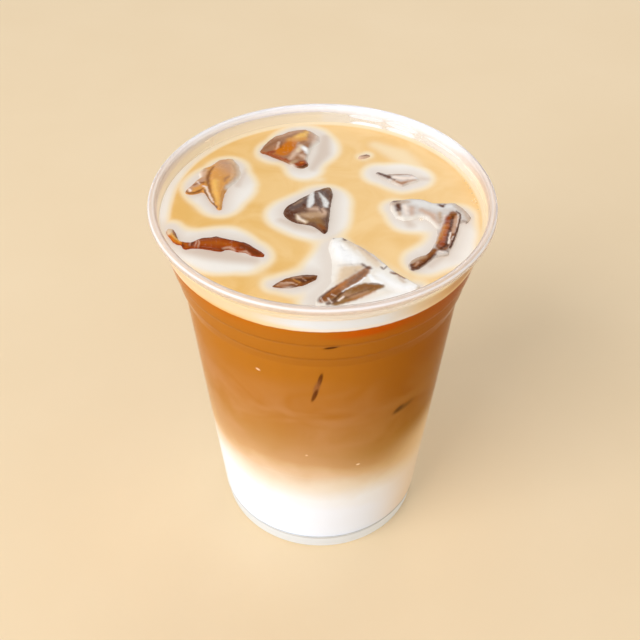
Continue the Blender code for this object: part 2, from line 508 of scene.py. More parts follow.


# Painted highlights, white patches of film on the wall over the drink: ((turn, height), (half length, half
# width), how white)
WALL_HIGHLIGHTS = [
    ((163.2, 119.0), (5.2, 0.55), 0.85), ((162.8, 116.8), (4.9, 0.5), 0.9),
    ((148.4, 118.9), (5.2, 0.85), 0.75), ((148.6, 117.1), (4.8, 0.75), 0.5),
    ((128.0, 118.9), (8.0, 0.5), 0.4), ((102.0, 118.4), (10.0, 0.5), 0.35),
]


def clear_plastic():
    paint = Finish("cup_clear_plastic")
    haze = paint.cloud(14.0, detail=2.0)
    ripple = paint.cloud(16.0, detail=1.0, stretch=(1, 1, 0.25))
    height = paint.height()
    turn = paint.turn()
    waves = paint.bump(ripple, 0.15, 0.15)
    dry = paint.clear(haze * 0.05 + 0.005, 1.3, Normal=waves)
    wet = paint.clear(haze * 0.05 + 0.01, 1.07)
    plastic = paint.mix(height.between(*WET_TO_DRY), wet, dry)
    milky = paint.blend(height.between(*WALL_TO_RIM), rgb(255, 238, 208), rgb(230, 211, 197))
    # Painted highlights whiten the film on the rim and round the far side
    milky = paint.blend(paint.attribute("whiteness"), milky, rgb(250, 249, 254))
    milky = paint.blend(height.between(*FOOT_TO_WALL), rgb(240, 247, 255), milky)
    # Painted shade: a grey line along the foot step
    foot_step_shade = height.between(*FOOT_STEP_SHADE[0]) - height.between(*FOOT_STEP_SHADE[1])
    milky = paint.blend(foot_step_shade, milky, rgb(206, 208, 214))
    film = paint.gloss(Base_Color=milky, Roughness=0.25 + haze * 0.1, IOR=1.3)
    # The plastic's haze, with a painted highlight round the far rim
    film_share = paint.attribute("milkiness") * (0.85 + haze * 0.3)
    # Painted highlights on the wall over the drink
    for place, size, white in WALL_HIGHLIGHTS:
        film_share = film_share + paint.patch(turn, height, place, size, 0.22) * white
    film_share = film_share + (1 - height.between(*FOOT_FILM)) * FULLEST_FILM + foot_step_shade * 0.2
    wall = paint.mix(film_share.at_most(FULLEST_FILM), plastic, film)
    return paint.done(paint.let_lamps_through(wall, (0.96, 0.96, 0.96, 1)))


# The drink's colour at the wall by height over the table
DRINK_COLOURS = [
    (0.0, rgb(236, 243, 255)), (22.0, rgb(238, 242, 252)), (29.0, rgb(238, 238, 240)),
    (36.0, rgb(232, 218, 200)), (42.0, rgb(218, 185, 148)), (47.0, rgb(200, 156, 108)),
    (53.0, rgb(187, 140, 86)), (62.0, rgb(178, 124, 62)), (74.0, rgb(171, 109, 38)),
    (90.0, rgb(174, 109, 32)), (105.0, rgb(177, 110, 32)), (109.0, rgb(182, 107, 24)),
    (112.0, rgb(184, 100, 8)),
]

# Degrees round the cup between which its right side begins and its back fades
RIGHT_SIDE = (-6.0, 60.0)
BACK_FADE = (95.0, 165.0)

# Heights over which the coffee turns milky and clears again, and over which painted shade darkens and warms
# the drink's right side
MILKY_FROM = (44.0, 56.0)
MILKY_TO = (70.0, 92.0)
RIGHT_SHADE_FROM = (26.0, 56.0)
# Where the table's light shows on the milk, in degrees round the cup and in height
TABLE_GLOW_SIDE = (24.0, 66.0)
TABLE_GLOW_TOP = (40.0, 56.0)

# Ice and froth that show through the coffee at the wall, and last a band of deep orange under the foam:
# ((turn, height), (half length, half width), lean, softness, colour, strength)
SUNK_MARKS = [
    ((3.6, 103.4), (1.9, 0.5), 12, 0.5, rgb(80, 38, 6), 0.95),
    ((-0.2, 88.4), (2.8, 0.62), 80, 0.35, rgb(88, 40, 10), 0.85),
    ((-1.6, 84.6), (3.4, 0.85), 78, 0.5, rgb(140, 88, 50), 0.8),
    ((-2.4, 81.4), (2.8, 0.62), 74, 0.35, rgb(92, 44, 12), 0.85),
    ((37.0, 66.7), (1.9, 1.0), 30, 0.6, rgb(84, 50, 16), 0.75),
    ((40.6, 66.4), (3.4, 1.1), 10, 0.8, rgb(104, 74, 34), 0.6),
    ((-25.7, 88.4), (0.7, 0.32), -20, 0.4, rgb(255, 222, 190), 0.8),
    ((18.7, 45.9), (0.6, 0.35), 0, 0.4, rgb(255, 232, 205), 0.85),
    ((-6.2, 52.5), (0.4, 0.3), 0, 0.4, rgb(246, 214, 178), 0.6),
    ((17.0, 109.2), (10.0, 1.5), 2, 0.7, rgb(205, 84, 0), 0.7),
]


def on_the_right(paint):
    """1 on the right side of the cup, 0 on the left side, soft in front and behind."""
    turn = paint.turn()
    return turn.between(*RIGHT_SIDE) * (1 - turn.between(*BACK_FADE))


def drink_colour(paint):
    wisps = paint.cloud(26.0, detail=3.0, distortion=0.6, stretch=(1, 1, 1.6))
    fine = paint.cloud(7.0, detail=2.0)
    height = paint.height() + (wisps - 0.5) * 9.0 + (fine - 0.5) * 2.0
    height = height + on_the_right(paint) * 4.5
    top = DRINK_COLOURS[-1][0]
    return paint.colours(height / top, [(z / top, colour) for z, colour in DRINK_COLOURS])


def layered_drink(name, marks=()):
    paint = Finish(name)
    patches = paint.cloud(18.0, detail=4.0)
    clouds = paint.cloud(24.0, detail=4.0, distortion=0.8, stretch=(1, 1, 1.8))
    height = paint.height()
    turn = paint.turn()
    colour = drink_colour(paint)
    if marks:
        milky = clouds.between(0.35, 0.65) * height.between(*MILKY_FROM)
        milky = milky * (1 - height.between(*MILKY_TO))
        colour = paint.blend(milky * 0.4, colour, rgb(196, 146, 102))
        for place, size, lean, softness, dark, strength in marks:
            mask = paint.patch(turn, height, place, size, softness, lean) * strength
            colour = paint.blend(mask, colour, dark)
    # Painted shade: the drink's right side darker and more orange
    right_shade = on_the_right(paint) * height.between(*RIGHT_SHADE_FROM) * (0.9 + patches * 0.2)
    colour = paint.node("ShaderNodeMix", {"data_type": "RGBA", "blend_type": "MULTIPLY"},
                        {0: right_shade, 6: colour, 7: (0.76, 0.64, 0.14, 1)}, output=2)
    table_glow = turn.between(*TABLE_GLOW_SIDE) * (1 - turn.between(*BACK_FADE))
    table_glow = table_glow * (1 - height.between(*TABLE_GLOW_TOP))
    colour = paint.blend(table_glow * 0.7, colour, rgb(238, 206, 160))
    return paint.done(paint.gloss(Base_Color=colour, Roughness=0.32 + patches * 0.1, IOR=1.35,
                                  Specular_IOR_Level=0.0))


def foam_top():
    paint = Finish("milk_foam")
    halo = paint.attribute("halo")
    near_ice = paint.attribute("near_ice")
    swirl = paint.cloud(16.0, detail=4.0, distortion=1.2)
    fine = paint.cloud(1.6, detail=3.0)
    side = paint.attribute("side")
    rich = (swirl.between(0.32, 0.68) * 0.6 + paint.attribute("rich")).at_most(1.0)
    tan = paint.blend(rich, rgb(242, 202, 137), rgb(231, 181, 98))
    cream = rgb(243, 219, 178)
    edge = halo + (swirl - 0.5) * 0.12 + (fine - 0.5) * 0.04
    # Painted shade greys the pools near the ice
    pool = paint.blend(near_ice, rgb(240, 233, 224), rgb(206, 184, 165))
    colour = paint.blend(edge.between(0.0, 0.5), tan, cream)
    colour = paint.blend(edge.between(0.35, 1.0), colour, pool)
    skin = paint.colours(halo, [(0.0, rgb(176, 100, 20)), (0.35, rgb(218, 170, 106)),
                                (0.7, rgb(230, 208, 174)), (1.0, rgb(230, 237, 248))])
    colour = paint.blend(side, colour, skin)
    skirt = (paint.height() + (fine - 0.5) * 0.5).between(*SKIRT)
    colour = paint.blend(skirt, rgb(186, 110, 34), colour)
    bumps = paint.bump(fine, 0.15, 0.12)
    return paint.done(paint.gloss(Base_Color=colour, Roughness=0.28 + fine * 0.12, IOR=1.35,
                                  Normal=bumps))


def coffee_under_ice():
    paint = Finish("coffee_under_ice")
    amber = paint.attribute("amber")
    streaks = paint.cloud(5.0, detail=3.0, distortion=0.8, stretch=(1, 1, 0.4))
    # Painted light and shade: the coffee in the hollows is darker in shade and brighter amber where light
    # comes through the ice
    dark = paint.blend(streaks.between(0.35, 0.7), rgb(178, 86, 26), rgb(216, 140, 72))
    lit = paint.blend(streaks.between(0.3, 0.65), rgb(224, 126, 16), rgb(250, 184, 80))
    colour = paint.blend(amber, dark, lit)
    return paint.done(paint.gloss(Base_Color=colour, Roughness=0.3 + streaks * 0.15, IOR=1.35))


def ice():
    paint = Finish("wet_ice")
    # The marks' colours, with their painted highlights, reflections and shade
    frost = paint.attribute("frost", "Color")
    cover = paint.attribute("cover")
    crystals = paint.cloud(1.1, detail=4.0, roughness=0.65)
    cracks = paint.cloud(4.0, detail=3.0, distortion=1.5)
    waves = paint.bump(paint.cloud(3.2, detail=2.0), 0.35, 0.4)
    clear = paint.clear(0.02 + crystals * 0.03, 1.31, Normal=waves)
    mottled = paint.blend((crystals - 0.55).at_least(0.0) * 0.5, frost, rgb(250, 240, 228))
    white = paint.gloss(Base_Color=mottled, Roughness=0.14 + crystals * 0.16, IOR=1.31,
                        Specular_IOR_Level=0.3, Normal=waves)
    share = cover * 1.2 + (crystals - 0.5) * 0.15 + (cracks - 0.5) * 0.2
    share = share.between(0.0, 1.0) * cover.between(0.0, 0.12)
    return paint.done(paint.let_lamps_through(paint.mix(share, clear, white), (0.9, 0.88, 0.86, 1)))


def bubble_skin():
    paint = Finish("bubble_skin")
    film = paint.cloud(1.0, detail=2.0)
    clear = paint.clear(0.02 + film * 0.03, 1.33)
    milky = paint.gloss(Base_Color=rgb(244, 226, 196), Roughness=0.25 + film * 0.1, IOR=1.33)
    return paint.done(paint.let_lamps_through(paint.mix(film * 0.5, clear, milky),
                                              (0.95, 0.94, 0.92, 1)))


def pale_floor():
    paint = Finish("pale_floor")
    grain = paint.cloud(60.0, detail=4.0)
    colour = paint.blend(grain, rgb(238, 212, 172), rgb(243, 219, 182))
    return paint.done(paint.gloss(Base_Color=colour, Roughness=0.6 + grain * 0.05))


# ---------------------------------------------------------------- the cup

def wall_radius(height):
    """The cup's outer radius at a height, with its bends a little rounded."""
    heights = [z for r, z in WALL_LINE]
    radii = [r for r, z in WALL_LINE]
    samples = [height + WALL_SOFTNESS * share for share in (-1, -0.5, 0, 0.5, 1)]
    return float(np.mean(np.interp(samples, heights, radii)))


def wall_heights(low, high):
    """Heights for the wall's stations: close together at its bends, wide apart between them."""
    heights = {low, high}
    for bend in WALL_BENDS:
        heights.update(bend + offset for offset in (-0.5, -0.25, 0.0, 0.25, 0.5))
    heights.update(np.arange(10.0, 94.0, 6.0))
    heights.update((101.0, 108.0, 112.0, 116.0, 117.5, 118.8))
    return sorted(z for z in heights if low <= z <= high)


def arc(middle, radius, start, end, steps):
    """Points on a circle, from a start to an end angle in degrees."""
    angles = np.radians(np.linspace(start, end, steps))
    return [(middle[0] + radius * math.cos(a), middle[1] + radius * math.sin(a)) for a in angles]


# How milky the rim looks, its haze with a painted highlight round the far right: round its curl (0 outside,
# 90 on top, 180 inside), round the far side, and the wall between the drink and the rim, all in degrees,
# right positive
CURL_LINES = ([-95, -46, -36, -24, 0, 22, 30, 52, 60, 84, 96, 112, 122, 134, 160, 265],
              [0.15, 0.2, 0.45, 0.25, 0.3, 0.35, 0.6, 0.65, 0.35, 0.35, 0.5, 0.5, 0.4, 0.3, 0.3, 0.3])
# Painted highlights: white lines round the curl, and white round the far side
CURL_HIGHLIGHTS = ([-95, 22, 32, 50, 60, 90, 98, 106, 116, 265], [0, 0, 0.9, 0.9, 0.1, 0, 0.4, 0.4, 0, 0])
CURL_TO_WALL = (110, 150)
FAR_HIGHLIGHT = (95.0, 132.0)
# Round the far side the rim is milkier, with a painted highlight strongest at the far right
FAR_RIM = ([-180, -150, -120, -90, 90, 108, 122, 140, 160, 180],
           [0.35, 0.25, 0.12, 0.0, 0.0, 0.35, 0.5, 0.75, 0.7, 0.35])
SIDE_WALL = ([-180, -130, -100, -70, -50, 50, 70, 100, 130, 180],
             [0.12, 0.3, 0.6, 0.6, 0.2, 0.3, 0.65, 0.65, 0.3, 0.12])


def note_rim(shell):
    points = corners(shell)
    turn, around = round_the_cup(points)
    curl = np.degrees(np.arctan2(points[:, 2] - CURL_MIDDLE[1], around - CURL_MIDDLE[0]))
    curl = (curl - CURL_START) % 360 + CURL_START
    on_rim = ramp(points[:, 2], *ON_RIM)
    far = np.interp(turn, *FAR_RIM)
    wall = np.interp(turn, *SIDE_WALL)
    rim = np.maximum(np.maximum(np.interp(curl, *CURL_LINES), far), wall * ramp(curl, *CURL_TO_WALL))
    wall = wall * ramp(points[:, 2], *WET_TO_DRY)
    # The plastic's haze, with a painted highlight round the far rim
    note(shell, "milkiness", wall + (rim - wall) * on_rim)
    # Painted highlights: white round the far side, and white lines round the curl on the rim
    far_highlight = ramp(np.abs(turn), *FAR_HIGHLIGHT) * np.maximum(on_rim, turn > 0)
    note(shell, "whiteness", np.maximum(np.interp(curl, *CURL_HIGHLIGHTS) * on_rim, far_highlight))


def cup_shell():
    base = (BASE_RADIUS - BASE_FILLET, BASE_FILLET)
    under = [(BASE_CENTRE, BASE_RECESS), (BASE_HALFWAY, BASE_RECESS),
             (BASE_RING_INNER - 1.4, BASE_RECESS),
             (BASE_RING_INNER - 1.0, BASE_RECESS - 0.15), (BASE_RING_INNER - 0.2, 0.15),
             (BASE_RING_INNER + 0.2, 0.0), (31.0, 0.0)]
    outer = [(wall_radius(z), z) for z in wall_heights(1.0, LIP_HEIGHT)]
    inside_curl = arc(CURL_MIDDLE, CURL_RADIUS - CURL_SKIN, 180, CURL_START, 20)
    outside_curl = arc(CURL_MIDDLE, CURL_RADIUS, CURL_START, 180, 42)
    corner = wall_radius(FLOOR_TOP + FLOOR_CORNER) - WALL - FLOOR_CORNER
    inner = [(wall_radius(z) - WALL, z) for z in wall_heights(FLOOR_TOP + FLOOR_CORNER, LIP_HEIGHT)]
    bottom = arc((corner, FLOOR_TOP + FLOOR_CORNER), FLOOR_CORNER, 0, -90, 6)[1:]
    stations = (under + arc(base, BASE_FILLET, -90, -10, 6) + outer + inside_curl + outside_curl
                + inner[::-1] + bottom + [(BASE_HALFWAY, FLOOR_TOP), (BASE_CENTRE, FLOOR_TOP)])
    shell = turned("cup_shell", stations, CUP_SIDES)
    smooth(shell, 50)
    note_rim(shell)
    shell.data.materials.append(clear_plastic())
    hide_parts("cup")
    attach(shell, "root")
    return shell


# ---------------------------------------------------------------- the ice

# Paints for the ice: glint is a painted highlight, dark is painted shade in the coffee seen through the
# ice, and the pale grey is frost on ice_6 and a painted reflection on ice_5
ICE_PAINTS = {
    "foam": rgb(236, 228, 217), "milk": rgb(248, 246, 244), "ash": rgb(208, 198, 190),
    "clay": rgb(194, 150, 120), "mauve": rgb(160, 112, 78), "rose": rgb(212, 176, 150),
    "tan": rgb(222, 196, 164), "beige": rgb(186, 150, 116), "olive": rgb(146, 106, 62),
    "honey": rgb(216, 152, 76), "ochre": rgb(198, 110, 0), "gold": rgb(236, 184, 96),
    "rust": rgb(148, 60, 0), "brown": rgb(134, 78, 32), "umber": rgb(108, 74, 56),
    "smoke": rgb(100, 78, 70), "dark": rgb(84, 38, 8), "glint": rgb(244, 226, 212),
    "steel": rgb(226, 223, 219),
}

# What shows where there is no mark
ICE_GROUND = {"ice_1": "honey", "ice_2": "mauve", "ice_3": "rose", "ice_4": "ash", "ice_5": "umber",
              "ice_6": "ash", "ice_7": "rust", "ice_8": "brown", "ice_9": "foam"}

# The foam laps over the edge of each piece of ice. Its outline where the ice shows,
# as (x, y, softness of the edge there)
ICE_SHOWS = {
    "ice_1": [
        (-31.5, 24.8, 0.7), (-28.5, 25.6, 0.3), (-27, 25.3, 0.4), (-24.4, 23.2, 2), (-22.6, 19, 2.8),
        (-22.8, 16, 2.8), (-25.2, 13, 1.8), (-27.6, 11, 0.9), (-28.7, 8.6, 0.4), (-28.8, 4, 0.4),
        (-28.7, 0, 0.3), (-29.4, -0.3, 0.3), (-30.8, 1.8, 0.3), (-32.4, 4.2, 0.3), (-33.9, 7.6, 0.3),
        (-34.8, 8.5, 0.3), (-36.2, 7.6, 0.3), (-38, 6.9, 0.4), (-39.8, 7.6, 0.4), (-39.4, 9.4, 0.4),
        (-38.4, 11.8, 0.6), (-37, 14.4, 0.6), (-36.2, 15.8, 0.9), (-37.4, 18.4, 1.6), (-36.6, 21, 1.6),
        (-34.4, 22, 1.2), (-32.9, 23.4, 0.9),
    ],
    "ice_2": [
        (-19.3, 29.6, 0.35), (-18.3, 32.6, 0.35), (-16.6, 36, 0.35), (-14.6, 38.4, 0.4),
        (-11, 40.4, 0.4), (-8.6, 41.8, 0.7), (-5.4, 43, 1.2), (-2.6, 42.4, 2.2), (0.2, 39.6, 2.8),
        (0.2, 35.4, 2.8), (-2.2, 32.8, 2.2), (-3.6, 31.2, 1.2), (-3.8, 28.8, 1.4), (-4.6, 25.6, 0.9),
        (-4.5, 22.8, 0.4), (-5.6, 20.9, 0.4), (-7.2, 21, 0.4), (-9.2, 22.2, 0.8), (-10.8, 23.8, 0.4),
        (-12.6, 25, 0.35), (-15.6, 27, 0.35), (-17.6, 28.4, 0.35),
    ],
    "ice_3": [
        (10.6, 26.6, 0.5), (11, 28, 0.5), (13.4, 28.8, 0.5), (14.4, 28.4, 0.5), (13.6, 27.2, 0.5),
        (11.8, 26.8, 0.5),
    ],
    "ice_4": [
        (15.6, 19.5, 0.4), (17.2, 19.6, 0.6), (19, 18.9, 0.9), (22.4, 18.8, 0.7), (26.2, 18.7, 0.6),
        (28.4, 17.6, 1.2), (29.8, 16.4, 1.4), (27.8, 14.4, 1), (25.2, 13.4, 0.7), (23.2, 12.2, 0.6),
        (21.4, 13.2, 0.7), (19.8, 14.8, 0.6), (17.6, 16.4, 0.5), (16, 18, 0.4),
    ],
    "ice_5": [
        (-11.1, -1.4, 0.4), (-10.8, 0.6, 0.3), (-9.9, 2.4, 0.25), (-7.2, 4.9, 0.25), (-5.5, 6.8, 0.25),
        (-4.2, 7.9, 0.3), (-3, 9, 0.4), (-1.4, 10, 0.3), (0, 11, 0.3), (1.9, 11.7, 0.3),
        (2.6, 10.4, 0.3), (2.9, 8, 0.3), (2.5, 5.6, 0.25), (2.2, 2.4, 0.25), (1.7, -1, 0.25),
        (1.4, -5, 0.25), (1.3, -9.4, 0.25), (0.7, -10.8, 0.25), (-0.2, -9.9, 0.25), (-1.6, -8.2, 0.25),
        (-3, -6.9, 0.25), (-5, -6.5, 0.25), (-7, -6, 0.3), (-8.7, -5.1, 0.3), (-10.2, -3.4, 0.3),
    ],
    "ice_6": [
        (19.5, 4.6, 0.3), (20.4, 5.3, 0.3), (22.2, 5.6, 0.3), (25.6, 6.3, 0.3), (28.4, 5.7, 0.25),
        (31.4, 4.3, 0.25), (33.4, 4, 0.25), (36, 4.1, 0.25), (38, 4.3, 0.25), (39.8, 2, 0.25),
        (41.2, -0.2, 0.25), (41.9, -2.4, 0.3), (41.4, -4, 0.5), (40.2, -5.4, 0.5), (39, -4.6, 0.3),
        (38.6, -4.4, 0.25), (37.9, -8, 0.25), (37, -11.6, 0.25), (35.8, -15, 0.25), (34.6, -17.6, 0.3),
        (34.2, -19.6, 0.6), (32.4, -20.2, 0.7), (30.2, -20, 0.4), (29, -21.6, 0.3), (27.4, -23.6, 0.3),
        (25.4, -25.6, 0.3), (24.3, -26.4, 0.3), (23.2, -25.6, 0.3), (23.1, -23.4, 0.3),
        (24, -21.4, 0.4), (25.6, -20.2, 0.4), (27.8, -19.4, 0.3), (29, -18, 0.25), (30.4, -15.4, 0.25),
        (31.7, -11.8, 0.25), (32.3, -9.4, 0.3), (31.7, -7.2, 0.9), (30.6, -5.2, 1.2), (29, -3.4, 1.5),
        (27.4, -3, 1.8), (25.4, -4, 2.2), (22.8, -4.6, 2.2), (20.2, -3, 1.6), (19.4, 1, 1),
    ],
    "ice_7": [
        (-43.2, -8.6, 0.6), (-41.6, -8.4, 0.6), (-40.7, -10.8, 0.4), (-39.8, -13, 0.3),
        (-38.6, -14.5, 0.25), (-37.4, -14.9, 0.25), (-36, -14.8, 0.25), (-34.6, -13.8, 0.25),
        (-32.8, -12.9, 0.25), (-30.4, -12.6, 0.25), (-29.2, -12, 0.25), (-28, -12.6, 0.25),
        (-26.2, -13.3, 0.25), (-23.4, -14.2, 0.25), (-21.4, -14.7, 0.25), (-19.8, -15.4, 0.25),
        (-18.2, -17, 0.25), (-16.6, -18.5, 0.25), (-15.6, -19.8, 0.25), (-15.5, -21.4, 0.3),
        (-17, -21.2, 0.3), (-19.2, -20.7, 0.3), (-20.3, -19.6, 0.25), (-20.9, -18.5, 0.25),
        (-21.6, -19.1, 0.25), (-22.8, -19.2, 0.25), (-24, -18.3, 0.25), (-25.2, -17.2, 0.25),
        (-26.4, -17.7, 0.25), (-27.2, -19, 0.25), (-29, -18.6, 0.25), (-31.4, -18.1, 0.3),
        (-33.6, -17.6, 0.3), (-35.2, -17.3, 0.3), (-37, -18.3, 0.3), (-38, -17, 0.3),
        (-38.2, -16.2, 0.25), (-39.4, -16.2, 0.25), (-40.6, -15.4, 0.3), (-41.7, -13.4, 0.4),
        (-42.9, -11.8, 0.4), (-43.4, -10.4, 0.6),
    ],
    "ice_8": [
        (-13.1, -32.9, 0.3), (-11.6, -31.4, 0.25), (-10.2, -30.2, 0.25), (-8.2, -29.1, 0.3),
        (-6, -28.4, 0.35), (-4, -28.1, 0.3), (-1.3, -28, 0.25), (-1.2, -29, 0.25), (-1.7, -30.1, 0.25),
        (-3, -31.2, 0.25), (-5, -32.3, 0.3), (-6.4, -33, 0.4), (-8.4, -33.8, 0.7), (-11.6, -33.6, 0.4),
    ],
    "ice_9": [
        (2.6, -12.2, 0.6), (5.4, -11.8, 0.6), (8, -14, 0.4), (11, -16.8, 0.35), (13.6, -19.2, 0.35),
        (15.8, -21.8, 0.35), (17.6, -24.4, 0.35), (19.6, -26.9, 0.35), (22.4, -29.2, 0.5),
        (26, -32.2, 0.8), (24, -36, 1), (16, -40.6, 1), (6, -43, 1), (-2, -41, 1), (-2, -37, 1.6),
        (1.2, -30, 3), (0.8, -22, 3.6), (0.6, -16, 2.4),
    ],
}
